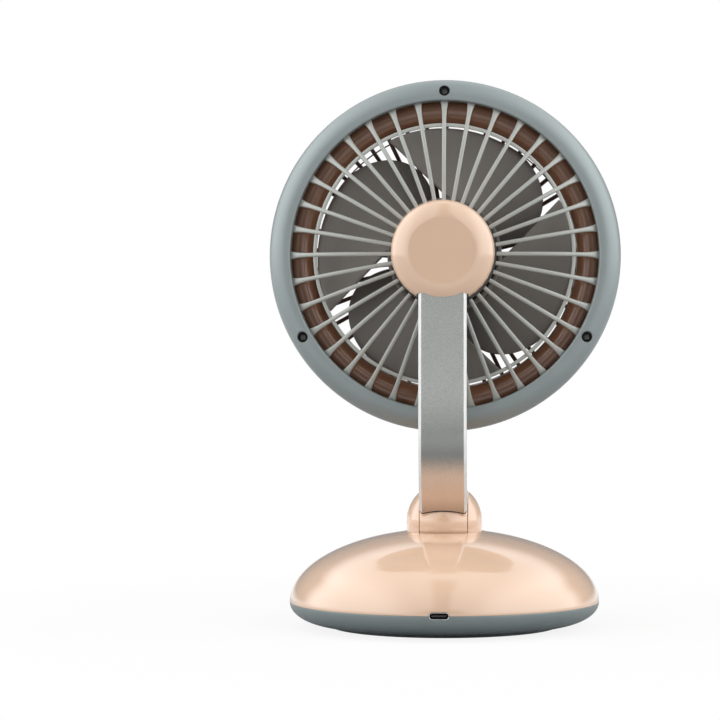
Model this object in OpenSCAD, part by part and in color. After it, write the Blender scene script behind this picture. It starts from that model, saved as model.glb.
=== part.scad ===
// Rechargeable table fan: a round head on a bent arm, a ball turret and a domed battery base.
// Millimetres, +Z up. The origin is on the table under the base's axis; air leaves towards -Y.

/* [Base] */
// Outer diameter of the base at its seam
base_d = 144; // [140:1:156]
// Height of the seam above the table
seam_z = 11.6; // [10.8:0.1:14]
// Height of the dome above the seam
dome_h = 33.6; // [32.8:0.2:34.8]
// Wall of the base shells
base_wall = 2.4; // [1.8:0.1:2.8]
// Diameter of the foot pad
foot_d = 106; // [98:1:112]
// Thickness of the foot pad
foot_h = 1.2; // [0.8:0.1:2]

/* [Battery and boards] */
// Diameter of a battery cell
cell_d = 18.4; // [14:0.1:18.6]
// Length of a battery cell
cell_l = 65; // [50:1:70]
// Thickness of the steel ballast plate
ballast_t = 2.5; // [1.5:0.1:3]
// Width of the control board
board_w = 28; // [20:1:30]
// Thickness of a circuit board
board_t = 1.6; // [1:0.1:2]
// Width of the USB-C receptacle
usb_w = 9.1; // [8.8:0.1:9.6]
// Height of the USB-C receptacle
usb_h = 3.3; // [3.1:0.1:3.6]
// Depth of the USB-C receptacle
usb_depth = 7.3; // [6.5:0.1:8.5]

/* [Power button] */
// Diameter of the button
button_d = 14; // [11:0.5:15]
// Radius on the dome at which the button sits
button_r = 45; // [44:0.5:48]
// Travel of the button
button_travel = 0.8; // [0.4:0.1:1]
// Gap round the button
button_gap = 0.4; // [0.3:0.05:0.6]
// Diameter of an indicator light
lens_d = 1.8; // [1.4:0.1:2.4]

/* [Turret] */
// Diameter of the ball
ball_d = 35.2; // [34.6:0.1:36]
// Height of the ball's centre above the table
ball_z = 49; // [48.4:0.2:50]
// Gap round the ball in the dome's opening
ball_gap = 0.6; // [0.4:0.05:1]
// Gap between parts that turn past each other
run_gap = 0.3; // [0.25:0.05:0.4]
// Swivel to each side of straight ahead, in degrees
swivel_range = 45; // [20:5:60]
// Diameter of the lower hinge pin
lower_pin_d = 5; // [4:0.1:6]

/* [Arm] */
// Width of the arm
arm_w = 22; // [20:0.5:22.5]
// Thickness of the arm
arm_t = 6; // [5.6:0.1:6.4]
// Distance of the arm's rear face behind the base's axis
arm_y = 28; // [27:0.5:29]
// Radius of the bend at the arm's foot, on its rear face
bend_r = 68; // [64:1:72]
// Height at which the bend starts
bend_z = 90.6; // [88:0.2:93]
// Bright chamfer along the arm's edges
arm_chamfer = 1.5; // [0.5:0.1:1.5]
// Wall of the arm's shell
arm_wall = 1.6; // [1.2:0.1:1.8]

/* [Head] */
// Height of the head's axis above the table
head_z = 173; // [168:1:190]
// Outer diameter of the head
head_d = 165.1; // [160:0.1:170]
// Radius of the rear ring's outer round
rim_r = 8; // [7.4:0.1:8.4]
// Radius of the rear ring's inner round
rim_in_r = 2.5; // [2.2:0.1:3]
// Wall of the head's mouldings
head_wall = 2; // [1.6:0.1:2.4]
// Depth of the head's front shell
shell_depth = 25; // [24:0.5:30]
// Width of the band between the air duct and the outside of the head
duct_band = 16.15; // [15.5:0.05:17.5]
// Distance of the throat of the inlet bell inside the air duct
throat_inset = 4.6; // [4:0.1:6]
// Distance of the thin middle ring's middle inside the throat
mid_ring_inset = 1.4; // [1:0.1:6]
// Number of spokes in the rear grille
spoke_count = 36; // [24:1:40]
// Width of a spoke
spoke_w = 2; // [1.4:0.1:2.4]
// Depth of a spoke
spoke_depth = 2.2; // [1.6:0.1:3]
// Number of bars in the front grille
bar_count = 42; // [30:1:46]
// Width of a front bar
bar_w = 2; // [1.2:0.1:2.4]

/* [Hub cap] */
// Outer diameter of the hub cap
cap_d = 47.5; // [46:0.5:49]
// Radius of the cap's rounded rim
cap_round = 7.8; // [6.5:0.1:9]
// Wall of the cap
cap_wall = 2; // [1.6:0.1:2.2]
// Gap on each side of the arm in the cap's slot
slot_gap = 1.3; // [0.8:0.1:2]
// Diameter of the upper hinge pin
upper_pin_d = 4; // [3:0.1:5]

/* [Impeller and motor] */
// Number of blades
blade_count = 4; // [3:1:5]
// Gap between the blades' tips and the throat
tip_gap = 2.2; // [1.5:0.1:6]
// Diameter of the impeller's hub
impeller_hub_d = 53.6; // [50:0.2:58]
// Thickness of a blade
blade_t = 1.6; // [1.2:0.1:2.4]
// Outer diameter of the rotor cup
rotor_d = 36.8; // [35:0.2:39]
// Diameter of the motor shaft
shaft_d = 3; // [2.5:0.1:4]
// Air gap between the stator and the magnet
air_gap = 0.7; // [0.4:0.1:1]

/* [Hidden] */

// Overrun of every cut past the face that it leaves
cut = 1;
$fn = 96;

// Colours, as the photograph shows them
peach = "#E5C6AF";
blue_grey = "#A5AFAF";
lower_grey = "#82908F";
arm_silver = "#A2A8A2";
blade_grey = "#5C5753";
duct_brown = "#64483A";
dark = "#2A2A2C";
steel = "#B8BABC";
copper = "#B4703C";
board_green = "#2F6B45";

// Base shells
base_r = base_d / 2;
foot_r = foot_d / 2;
dome_r_in = base_r - base_wall;
floor_z = foot_h + base_wall;
lip_t = 1.4;
lip_h = 2.4;
lip_gap = 1.2;
lip_r = dome_r_in - lip_gap;
lip_cut_gap = 2;
profile_steps = 28;

// Screws and bosses of the base
boss_r = 4;
boss_board_gap = 2;
boss_x = board_w / 2 + boss_board_gap + boss_r;
boss_y = 44;
boss_split_z = seam_z - lip_h;
base_screw_r = 1.4;
base_screw_head_r = 2.6;
base_screw_head_h = 1.6;
base_screw_l = 14;

// Battery, boards and receptacle
ballast_top_z = floor_z + ballast_t;
ballast_side = 3;
ballast_boss_gap = 0.5;
tray_floor_t = 1.2;
tray_h = 9;
tray_end = 1.5;
tray_side = 1;
cell_r = cell_d / 2;
tray_gap = 5;
cell_x = board_w / 2 + tray_gap + tray_side + cell_r;
cell_z = ballast_top_z + tray_floor_t + cell_r;
cell_tip_r = 3;
cell_tip_l = 0.8;
usb_z = seam_z;
usb_skin = 0.35;
usb_inset = 0.4;
usb_tongue_w = 6.6;
usb_tongue_t = 0.7;
usb_tongue_back = 1.2;
usb_rear_y = base_r - usb_inset;
board_z = usb_z - usb_h / 2 - board_t;
board_front_y = 27;
board_corner_r = lip_r - lip_t;
board_rear_y = sqrt(pow(board_corner_r, 2) - pow(board_w / 2, 2));
board_post_r = 2;
board_post_x = board_w / 2 - board_post_r - lip_t;
board_post_front_y = board_front_y + 2 * board_post_r;
board_post_rear_y = board_rear_y - 5 * board_post_r;
chip_h = 1.8;
// Centre and size of each chip, as shares of the board's width and length, and its height in chips
chip_shares = [[-0.2, 0.2, 0.3, 0.18, 1], [0.25, 0.3, 0.22, 0.16, 1.6], [0.1, 0.6, 0.4, 0.14, 0.8]];

// Power button, its switch and the indicator lights
button_rad = button_d / 2;
button_proud = 0.3;
button_dish_r = 40;
button_dish = 0.5;
flange_gap = 1;
flange_side = 1.5;
flange_t = 1.2;
stem_r = 2;
stem_l = 2;
plunger_r = 1.6;
plunger_l = 0.9;
plunger_gap = 0.15;
switch_w = 6;
switch_h = 3.4;
flange_top = base_wall + flange_gap;
stem_end = flange_top + flange_t + stem_l;
switch_top = stem_end + button_travel + plunger_gap + plunger_l;
button_board_top = switch_top + switch_h;
button_board_side = 1.4;
button_board_half = button_rad + flange_side + button_board_side / 2;
button_post_r = 1.3;
button_post_at = button_board_half - button_post_r;
button_post_share = 0.8;
lens_r = lens_d / 2;
lens_count = 4;
lens_pitch_angle = 6;
lens_beyond = 6;
lens_at_r = button_r + button_rad + lens_beyond;
lens_under = 1.2;
lens_proud = 0.05;

// Ball, neck, nut and bearing plate of the turret
ball_r = ball_d / 2;
opening_r = ball_r + ball_gap;
knuckle_gap = 0.4;
pocket_r = ball_r + knuckle_gap;
slot_w = arm_w + 2 * run_gap;
neck_floor_t = 2.4;
neck_bottom_z = ball_z - pocket_r - neck_floor_t;
neck_step = 2.1;
neck_r = ball_r - neck_step;
slot_open_drop = 6;
slot_open_z = ball_z - slot_open_drop;
lead_hole_r = 4;
collar_t = 2.6;
collar_drop = 13;
collar_z = ball_z - collar_drop;
nut_t = 2.5;
nut_top_z = collar_z - run_gap;
nut_bottom_z = nut_top_z - nut_t;
nut_flange = 4.9;
nut_r = ball_r + nut_flange;
plate_t = 2.2;
plate_top_z = nut_bottom_z - run_gap;
plate_bottom_z = plate_top_z - plate_t;
plate_hole_r = neck_r + ball_gap;
plate_boss_r = 3;
plate_boss_gap = 1.5;
plate_boss_at_r = nut_r + plate_boss_gap + plate_boss_r;
plate_rim = 0.5;
plate_r = plate_boss_at_r + plate_boss_r + plate_rim;
plate_screw_r = 1.1;
plate_screw_head_r = 2.1;
plate_screw_head_h = 1.4;
plate_screw_l = 5;
plate_screw_count = 3;
stop_pin_r = 1.2;
stop_inset = 1.5;
stop_at_r = nut_r - stop_inset;
stop_gap = 0.4;
stop_half_angle = swivel_range + asin((stop_pin_r + stop_gap) / stop_at_r);

// Lower hinge
lower_pin_r = lower_pin_d / 2;
pin_clearance = 0.06;
ear_grip = 3.2;
lower_pin_half = slot_w / 2 + ear_grip;
side_cap_r = 4.2;
friction_r = 8;
friction_t = 1.2;
friction_gap = 0.1;
friction_side_gap = 0.2;

// Arm, in section: depth from the rear face, and distance across
top_barrel_r = 4.6;
barrel_gap = 0.4;
top_r = arm_t + top_barrel_r + barrel_gap;
pin_y = arm_y - top_r;
top_angle = 50;
bend_y = arm_y - bend_r;
arm_end_angle = atan2(bend_z - ball_z, -bend_y);
arm_seam = 0.3;
arm_in_half = arm_w / 2 - arm_wall;
spine_half = 5;
spine_t = 1.5;
spine_short_angle = 4;
lead_r = 1.1;
lead_side = 1;
lead_at = arm_in_half - lead_side - lead_r;

// Upper hinge
upper_pin_r = upper_pin_d / 2;
knuckle_half = 4.5;
knuckle_block_l = 13;
washer_t = 1;
washer_gap = 0.1;
washer_r = top_barrel_r - barrel_gap;
ear_t = 2.7;
ear_in_x = knuckle_half + washer_gap + washer_t;
ear_out_x = ear_in_x + ear_t;
upper_pin_half = ear_out_x + barrel_gap;
knuckle_screw_r = 0.9;
knuckle_screw_head_r = 1.6;
knuckle_screw_head_h = 1.3;
knuckle_screw_x = knuckle_half / 2;
knuckle_screw_drop = 9.5;

// Head: radii, and places along its axis towards the rear
head_r = head_d / 2;
hub_rise = 9;
hub_y = pin_y - hub_rise;
hub_t = 3;
hub_r = 22.4;
hub_bore_r = 6;
hub_step_h = 2;
hub_step_t = 1.6;
cap_fit = 0.15;
hub_step_r = cap_d / 2 - cap_wall - cap_fit;
crest_drop = 7;
crest_y = hub_y - crest_drop;
rim_y = crest_y - rim_r;
rim_at_r = head_r - rim_r;
rim_in_y = crest_y - rim_in_r;
rim_in_depth = 7;
skirt_h = 4;
parting_y = rim_y - skirt_h;
seat_lip_t = 1.4;
seat_lip_h = 3;
seat_gap = 0.1;
shell_inset = 0.25;
shell_r = head_r - shell_inset;
shell_in_r = shell_r - head_wall;
shell_round = 8;
front_y = parting_y - shell_depth;
duct_r = head_r - duct_band;
throat_r = duct_r - throat_inset;
mid_ring_r = throat_r - mid_ring_inset;
duct_out_r = duct_r + head_wall;
bell_drop = 7;
bell_y = crest_y - bell_drop;
bell_r = 7;
bell_fall = 11.5;
bell_t = 1.8;
bell_join_share = 0.65;
bell_at_r = throat_r + bell_r;
throat_l = 3;
duct_top_gap = 0.9;
duct_top_y = bell_y - bell_t - duct_top_gap;

// Spokes of the rear grille: the rear face falls from the hub to the rim along a curve
spoke_in_r = hub_r - hub_t;
spoke_end_share = 0.3;
spoke_out_r = rim_at_r - rim_in_r * spoke_end_share;
spoke_rim_share = 1.2;
spoke_rim_y = crest_y - rim_in_r * spoke_rim_share;
spoke_power = 2.9;
spoke_steps = 10;
flare_l = 9;
flare_half_share = 0.95;
flare_start_share = 0.33;
flare_near_share = 0.8;
flare_far_share = 1.6;
mid_ring_t = 1.8;
mid_ring_depth = 1.8;
mid_ring_drop = 0.8;

// Screws of the head
screw_inset = 5.85;
frame_screw_at_r = head_r - screw_inset;
frame_screw_count = 3;
frame_hole_r = 2.5;
frame_rim_bevel = 0.6;
frame_head_r = 2.3;
frame_head_h = 1.4;
frame_head_depth = 3.4;
frame_screw_r = 1.2;
frame_screw_l = 18;
rear_boss_r = 3.5;
front_boss_r = 3.9;
boss_hole_gap = 0.4;

// Front grille
grille_ring_t = 2;
grille_ring_h = 3;
bar_depth = 2.4;
bar_in_r = 18;
grille_hub_r = 20;
grille_rise = 6;
grille_hub_over = 0.4;
grille_hub_y = front_y - grille_rise - grille_hub_over;
bar_power = 2.2;
bar_steps = 8;
badge_r = 18.5;
badge_t = 1.2;

// Hub cap
cap_r = cap_d / 2;
cap_lift = 0.4;
cap_y = arm_y + cap_lift + cap_wall;
cap_in_round = cap_round - cap_wall;

// Motor
motor_y = hub_y - hub_t;
motor_base_r = 18;
motor_base_t = 2;
bearing_r = 4;
bearing_t = 3;
bearing_play = 0.05;
tube_r = 5.4;
tube_l = 20;
rear_bearing_drop = 6;
front_bearing_drop = 19;
motor_board_t = 1.2;
motor_board_r = 15;
shaft_r = shaft_d / 2;
rotor_r = rotor_d / 2;
rotor_wall = 1.2;
magnet_t = 2;
stator_r = rotor_r - rotor_wall - magnet_t - air_gap;
stator_h = 10;
stator_drop = 8;
tooth_count = 9;
tooth_w = 2.2;
tooth_ring_r = 7.6;
shoe_t = 1.4;
shoe_w = 7;
coil_w = 4.4;
coil_over = 1;
rotor_open_drop = 6;
rotor_end_drop = 21.5;
magnet_drop = 7;
magnet_h = 12;
bracket_screw_count = 3;
bracket_screw_at_r = 14;
bracket_screw_r = 1.25;
bracket_screw_head_r = 2.4;
bracket_screw_head_h = 1.4;
bracket_r = hub_step_r - hub_step_t - cap_fit;

// Impeller
impeller_r = throat_r - tip_gap;
impeller_hub_r = impeller_hub_d / 2;
hub_wall = 2;
hub_open_drop = 6.5;
hub_end_drop = 29;
hub_end_t = 2;
boss_wall = 3.5;
rotor_sleeve_t = 1.6;
rotor_sleeve_h = 12;
nut_grip_r = 4;
nut_grip_h = 3;
shaft_front_over = 1;
shaft_rear_drop = 1.8;
clip_r = 3;
clip_t = 0.7;
blade_root = 0.8;
// Angle of the straight leading edge at the hub and at the tip, seen from the rear
lead_hub_angle = 84;
lead_tip_angle = 116;
// Angle of the trailing edge at the hub, and how far it curls round to the tip
trail_hub_angle = 11;
trail_curl = 45;
// Depth of each edge below the motor's face, at the hub and at the tip
lead_hub_drop = 8;
lead_tip_drop = 10;
trail_hub_drop = 27;
trail_tip_drop = 22;
blade_steps = 8;

// Points on an ellipse about a centre, between two angles
function ellipse_points(centre, half, from, to) = [
    for (i = [0:profile_steps])
    let (a = from + (to - from) * i / profile_steps)
    [centre[0] + half[0] * cos(a), centre[1] + half[1] * sin(a)]
];

// Height of the dome at a radius, and the dome's slope there
function dome_z(r) = seam_z + dome_h * sqrt(1 - pow(r / base_r, 2));
function dome_tilt(r) = atan2(r / pow(base_r, 2), (dome_z(r) - seam_z) / pow(dome_h, 2));

// Rear face of a spoke, and front face of a front bar, at a radius
function spoke_y(r) = hub_y - (hub_y - spoke_rim_y)
    * pow((r - spoke_in_r) / (spoke_out_r - spoke_in_r), spoke_power);
function bar_y(r) = front_y - grille_rise
    * (1 - pow((r - bar_in_r) / (duct_r - bar_in_r), bar_power));

// Puts a part that is drawn about +Z on the head's axis, its +Z towards the rear
module on_head_axis() {
    translate([0, 0, head_z]) rotate([-90, 0, 0]) children();
}

// Puts a part that is drawn about the dome's normal at a radius on the dome's front
module on_dome(r, angle = 0) {
    rotate([0, 0, angle]) translate([0, -r, dome_z(r)]) rotate([dome_tilt(r), 0, 0]) children();
}

// Turns a drawing in the plane Y-Z, made thick along its own Z, so that it is thick along X
module across() {
    rotate([90, 0, 90]) children();
}

// A ring about +Z, from one height to another
module ring(outer_r, inner_r, from, to) {
    difference() {
        translate([0, 0, from]) cylinder(r = outer_r, h = to - from);
        translate([0, 0, from - cut]) cylinder(r = inner_r, h = to - from + 2 * cut);
    }
}

// Copies of a part, evenly round +Z
module spread(count, radius, start = 0) {
    for (i = [0:count - 1]) {
        rotate([0, 0, start + 360 * i / count]) translate([radius, 0, 0]) children();
    }
}

// The four screw places of the base
module base_corners() {
    for (x = [-boss_x, boss_x], y = [-boss_y, boss_y]) {
        translate([x, y, 0]) children();
    }
}

// The dome as a solid, its half sizes made smaller by an inset, carried on below the seam
module dome_solid(inset, below) {
    rotate_extrude() polygon(concat([[0, seam_z - below], [base_r - inset, seam_z - below]],
        ellipse_points([0, seam_z], [base_r - inset, dome_h - inset], 0, 90)));
}

module usb_outline(grow) {
    end_r = usb_h / 2 + grow;
    half = usb_w / 2 - usb_h / 2;
    for (x = [-half, half]) {
        translate([x, 0]) circle(r = end_r);
    }
    translate([-half, -end_r]) square([2 * half, 2 * end_r]);
}

// The receptacle's outline as a bar along Y
module usb_bar(grow, from, to) {
    translate([0, to, usb_z]) rotate([90, 0, 0]) linear_extrude(to - from) usb_outline(grow);
}

module base_top_shell() {
    color(peach)
    difference() {
        union() {
            difference() {
                intersection() {
                    dome_solid(0, cut);
                    translate([0, 0, seam_z]) cylinder(r = base_d, h = base_d);
                }
                dome_solid(base_wall, 2 * cut);
            }
            intersection() {
                dome_solid(base_wall / 2, lip_h);
                union() {
                    ring(opening_r + collar_t, opening_r, collar_z, seam_z + dome_h);
                    base_corners() translate([0, 0, boss_split_z]) cylinder(r = boss_r, h = dome_h);
                    spread(plate_screw_count, plate_boss_at_r, 90)
                        translate([0, 0, plate_top_z]) cylinder(r = plate_boss_r, h = dome_h);
                    seat_lip();
                }
            }
            button_posts();
        }
        cylinder(r = opening_r, h = 2 * dome_h);
        usb_bar(0, board_front_y, base_r + cut);
        on_dome(button_r) translate([0, 0, -flange_top])
            cylinder(r = button_rad + button_gap, h = flange_top + base_wall);
        indicator_places() translate([0, 0, -2 * base_wall]) cylinder(r = lens_r, h = 4 * base_wall);
        base_corners() base_screw_hole();
        spread(plate_screw_count, plate_boss_at_r, 90) translate([0, 0, plate_bottom_z])
            cylinder(r = plate_screw_r, h = plate_screw_l);
    }
}

// The lip that centres the dome in the bottom shell, open at the receptacle
module seat_lip() {
    difference() {
        union() {
            ring(lip_r, lip_r - lip_t, seam_z - lip_h, seam_z + lip_h);
            ring(base_r, lip_r - lip_t, seam_z, seam_z + lip_h);
        }
        translate([-board_w / 2 - lip_cut_gap, 0, seam_z - lip_h - cut])
            cube([board_w + 2 * lip_cut_gap, dome_r_in, 2 * lip_h + 2 * cut]);
    }
}

module button_posts() {
    on_dome(button_r)
    for (x = [-1, 1], y = [-1, 1]) {
        translate([x * button_post_at, y * button_post_at, -button_board_top])
            cylinder(r = button_post_r, h = button_board_top - button_post_share * base_wall);
    }
}

module indicator_places() {
    for (i = [0:lens_count - 1]) {
        on_dome(lens_at_r, (i - (lens_count - 1) / 2) * lens_pitch_angle) children();
    }
}

module base_screw_hole() {
    translate([0, 0, foot_h - cut]) cylinder(r = base_screw_head_r, h = base_screw_head_h + cut);
    cylinder(r = base_screw_r, h = foot_h + base_screw_head_h + base_screw_l);
}

module base_bottom_shell() {
    color(lower_grey)
    difference() {
        union() {
            difference() {
                rotate_extrude() polygon(concat([[0, foot_h]],
                    ellipse_points([foot_r, seam_z], [base_r - foot_r, seam_z - foot_h], -90, 0),
                    [[0, seam_z]]));
                rotate_extrude() polygon(concat([[0, floor_z]],
                    ellipse_points([foot_r, seam_z], [dome_r_in - foot_r, seam_z - floor_z], -90, 0),
                    [[dome_r_in, seam_z + cut], [0, seam_z + cut]]));
            }
            base_corners() translate([0, 0, foot_h]) cylinder(r = boss_r, h = boss_split_z - foot_h);
            for (x = [-board_post_x, board_post_x], y = [board_post_front_y, board_post_rear_y]) {
                translate([x, y, foot_h]) cylinder(r = board_post_r, h = board_z - foot_h);
            }
        }
        base_corners() base_screw_hole();
        usb_bar(0, board_front_y, base_r + cut);
    }
}

module foot_pad() {
    color(dark) cylinder(r = foot_r, h = foot_h);
}

module ballast_plate() {
    clear_x = board_w / 2;
    color(steel)
    translate([0, 0, floor_z])
    difference() {
        cylinder(r = foot_r - ballast_side, h = ballast_t);
        base_corners() translate([0, 0, -cut])
            cylinder(r = boss_r + ballast_boss_gap, h = ballast_t + 2 * cut);
        translate([-clear_x, board_front_y, -cut]) cube([2 * clear_x, base_r, ballast_t + 2 * cut]);
    }
}

module battery_trays() {
    half_w = cell_r + tray_side;
    half_l = cell_l / 2 + tray_end;
    color(dark)
    for (x = [-cell_x, cell_x]) {
        difference() {
            translate([x - half_w, -half_l, ballast_top_z]) cube([2 * half_w, 2 * half_l, tray_h]);
            translate([x, cell_l / 2, cell_z]) rotate([90, 0, 0]) cylinder(r = cell_r, h = cell_l);
            translate([x - cell_r, -cell_l / 2, cell_z]) cube([2 * cell_r, cell_l, tray_h]);
        }
    }
}

module battery_cells() {
    color("#3F6FA8")
    for (x = [-cell_x, cell_x]) {
        translate([x, cell_l / 2 - cell_tip_l, cell_z]) rotate([90, 0, 0])
            cylinder(r = cell_r, h = cell_l - cell_tip_l);
        translate([x, cell_l / 2, cell_z]) rotate([90, 0, 0]) cylinder(r = cell_tip_r, h = 2 * cell_tip_l);
    }
}

module control_board() {
    color(board_green)
    translate([-board_w / 2, board_front_y, board_z])
        cube([board_w, board_rear_y - board_front_y, board_t]);
}

module board_parts() {
    length = board_rear_y - board_front_y;
    color(dark)
    translate([0, board_front_y, board_z + board_t])
    for (c = chip_shares) {
        translate([(c[0] - c[2] / 2) * board_w, (c[1] - c[3] / 2) * length, 0])
            cube([c[2] * board_w, c[3] * length, c[4] * chip_h]);
    }
}

module usb_port() {
    front = usb_rear_y - usb_depth;
    color(steel)
    union() {
        difference() {
            usb_bar(0, front, usb_rear_y);
            usb_bar(-usb_skin, front + usb_tongue_back, usb_rear_y + cut);
        }
        translate([-usb_tongue_w / 2, front, usb_z - usb_tongue_t / 2])
            cube([usb_tongue_w, usb_depth - usb_tongue_back, usb_tongue_t]);
    }
}

module power_button() {
    color(blue_grey)
    on_dome(button_r)
    difference() {
        union() {
            translate([0, 0, -flange_top]) cylinder(r = button_rad, h = flange_top + button_proud);
            translate([0, 0, -flange_top - flange_t]) cylinder(r = button_rad + flange_side, h = flange_t);
            translate([0, 0, -stem_end]) cylinder(r = stem_r, h = stem_l + flange_t);
        }
        translate([0, 0, button_proud + button_dish_r - button_dish]) sphere(r = button_dish_r);
    }
}

module button_switch() {
    color(dark)
    on_dome(button_r) {
        translate([-switch_w / 2, -switch_w / 2, -button_board_top]) cube([switch_w, switch_w, switch_h]);
        translate([0, 0, -switch_top]) cylinder(r = plunger_r, h = plunger_l);
    }
}

module button_board() {
    half = button_board_half;
    color(board_green)
    on_dome(button_r)
        translate([-half, -half, -button_board_top - board_t]) cube([2 * half, 2 * half, board_t]);
}

module indicator_lenses() {
    color("#F4F4F0")
    indicator_places() translate([0, 0, -base_wall - lens_under])
        cylinder(r = lens_r, h = base_wall + lens_under + lens_proud);
}

module base_screws() {
    color(steel)
    base_corners() {
        translate([0, 0, foot_h]) cylinder(r = base_screw_head_r, h = base_screw_head_h);
        translate([0, 0, foot_h]) cylinder(r = base_screw_r, h = base_screw_head_h + base_screw_l);
    }
}

module bearing_plate() {
    color(steel)
    difference() {
        ring(plate_r, plate_hole_r, plate_bottom_z, plate_top_z);
        spread(plate_screw_count, plate_boss_at_r, 90)
            translate([0, 0, plate_bottom_z - cut]) cylinder(r = plate_screw_r, h = plate_t + 2 * cut);
    }
}

module bearing_plate_screws() {
    color(dark)
    spread(plate_screw_count, plate_boss_at_r, 90) {
        translate([0, 0, plate_bottom_z - plate_screw_head_h])
            cylinder(r = plate_screw_head_r, h = plate_screw_head_h);
        translate([0, 0, plate_bottom_z]) cylinder(r = plate_screw_r, h = plate_screw_l);
    }
}

module swivel_stop_pin() {
    color(steel)
    translate([0, -stop_at_r, plate_top_z]) cylinder(r = stop_pin_r, h = nut_t);
}

module turret_shell() {
    color(peach)
    difference() {
        union() {
            translate([0, 0, ball_z]) sphere(r = ball_r);
            translate([0, 0, nut_top_z]) cylinder(r = ball_r, h = ball_z - nut_top_z);
            translate([0, 0, neck_bottom_z]) cylinder(r = neck_r, h = nut_top_z - neck_bottom_z);
        }
        translate([-slot_w / 2, 0, ball_z]) rotate([0, 90, 0]) cylinder(r = pocket_r, h = slot_w);
        translate([-slot_w / 2, -ball_d / 2 - cut, slot_open_z]) cube([slot_w, ball_d + 2 * cut, ball_d]);
        translate([-lower_pin_half, 0, ball_z]) rotate([0, 90, 0])
            cylinder(r = lower_pin_r, h = 2 * lower_pin_half);
        for (side = [-1, 1]) {
            translate([side * (lower_pin_half + ball_r / 2), 0, ball_z]) rotate([0, 90, 0])
                cylinder(r = side_cap_r, h = ball_r, center = true);
        }
        translate([0, 0, neck_bottom_z - cut]) cylinder(r = lead_hole_r, h = neck_floor_t + 2 * cut);
    }
}

module turret_nut() {
    color(steel)
    difference() {
        ring(nut_r, neck_r, nut_bottom_z, nut_top_z);
        translate([0, 0, nut_bottom_z - cut]) rotate([0, 0, -90 - stop_half_angle])
        rotate_extrude(angle = 2 * stop_half_angle)
            translate([stop_at_r - stop_pin_r - stop_gap, 0]) square([ball_r, nut_t + 2 * cut]);
    }
}

module lower_hinge_pin() {
    color(steel)
    translate([-lower_pin_half, 0, ball_z]) rotate([0, 90, 0])
        cylinder(r = lower_pin_r, h = 2 * lower_pin_half);
}

module lower_friction_discs() {
    color(dark)
    for (side = [-1, 1]) {
        translate([side * (slot_w - friction_t) / 2, 0, ball_z]) rotate([0, 90, 0])
        difference() {
            cylinder(r = friction_r, h = friction_t, center = true);
            cylinder(r = lower_pin_r, h = friction_t + 2 * cut, center = true);
        }
    }
}

module turret_side_caps() {
    color(peach)
    intersection() {
        translate([0, 0, ball_z]) sphere(r = ball_r);
        for (side = [-1, 1]) {
            translate([side * (lower_pin_half + ball_r / 2), 0, ball_z]) rotate([0, 90, 0])
                cylinder(r = side_cap_r, h = ball_r, center = true);
        }
    }
}

module lower_knuckle() {
    recess_in = slot_w / 2 - friction_t - friction_gap;
    color(peach)
    difference() {
        intersection() {
            translate([0, 0, ball_z]) sphere(r = ball_r);
            translate([-arm_w / 2, -ball_d, ball_z - ball_d]) cube([arm_w, 2 * ball_d, 2 * ball_d]);
        }
        for (side = [-1, 1]) {
            translate([side * (recess_in + arm_w / 2), 0, ball_z]) rotate([0, 90, 0])
                cylinder(r = friction_r + friction_side_gap, h = arm_w, center = true);
        }
        translate([0, 0, ball_z]) rotate([0, 90, 0])
            cylinder(r = lower_pin_r + pin_clearance, h = 2 * arm_w, center = true);
        spine_bar();
    }
}

// A bar along the arm: its section is a list of [depth from the rear face, distance across]
module along_arm(section, top_z, foot_angle, over_top) {
    straight = [for (p = section) [p[1], arm_y - p[0]]];
    bent = [for (p = section) [bend_r - p[0], p[1]]];
    round_top = [for (p = section) [top_r - p[0], p[1]]];
    translate([0, 0, bend_z]) linear_extrude(top_z - bend_z) polygon(straight);
    translate([0, bend_y, bend_z]) across() mirror([0, 1, 0])
        rotate_extrude(angle = foot_angle) polygon(bent);
    if (over_top) {
        translate([0, pin_y, head_z]) across() rotate_extrude(angle = top_angle) polygon(round_top);
    }
}

function box_section(near, far, half) = [[near, -half], [near, half], [far, half], [far, -half]];

module ball_space() {
    translate([0, 0, ball_z]) rotate([0, 90, 0]) sphere(r = ball_r + arm_seam);
}

module arm_rear_shell() {
    half = arm_w / 2;
    section = [
        [arm_chamfer, -half], [0, arm_chamfer - half], [0, half - arm_chamfer], [arm_chamfer, half],
        [arm_t, half], [arm_t, arm_in_half], [arm_wall, arm_in_half],
        [arm_wall, -arm_in_half], [arm_t, -arm_in_half], [arm_t, -half]
    ];
    color(arm_silver)
    difference() {
        along_arm(section, head_z, arm_end_angle, true);
        ball_space();
    }
}

module arm_front_cover() {
    color(arm_silver)
    difference() {
        along_arm(box_section(arm_t - arm_wall, arm_t, arm_in_half),
            head_z - knuckle_block_l, arm_end_angle, false);
        ball_space();
    }
}

module spine_bar() {
    along_arm(box_section(arm_wall, arm_wall + spine_t, spine_half),
        head_z, arm_end_angle - spine_short_angle, false);
}

module arm_spine() {
    color(steel) spine_bar();
}

module arm_lead() {
    depth = arm_wall + lead_r;
    color(dark)
    difference() {
        union() {
            translate([lead_at, arm_y - depth, bend_z])
                cylinder(r = lead_r, h = head_z - knuckle_block_l - bend_z);
            translate([0, bend_y, bend_z]) across() mirror([0, 1, 0])
                rotate_extrude(angle = arm_end_angle)
                translate([bend_r - depth, lead_at]) circle(r = lead_r);
        }
        ball_space();
    }
}

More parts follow.
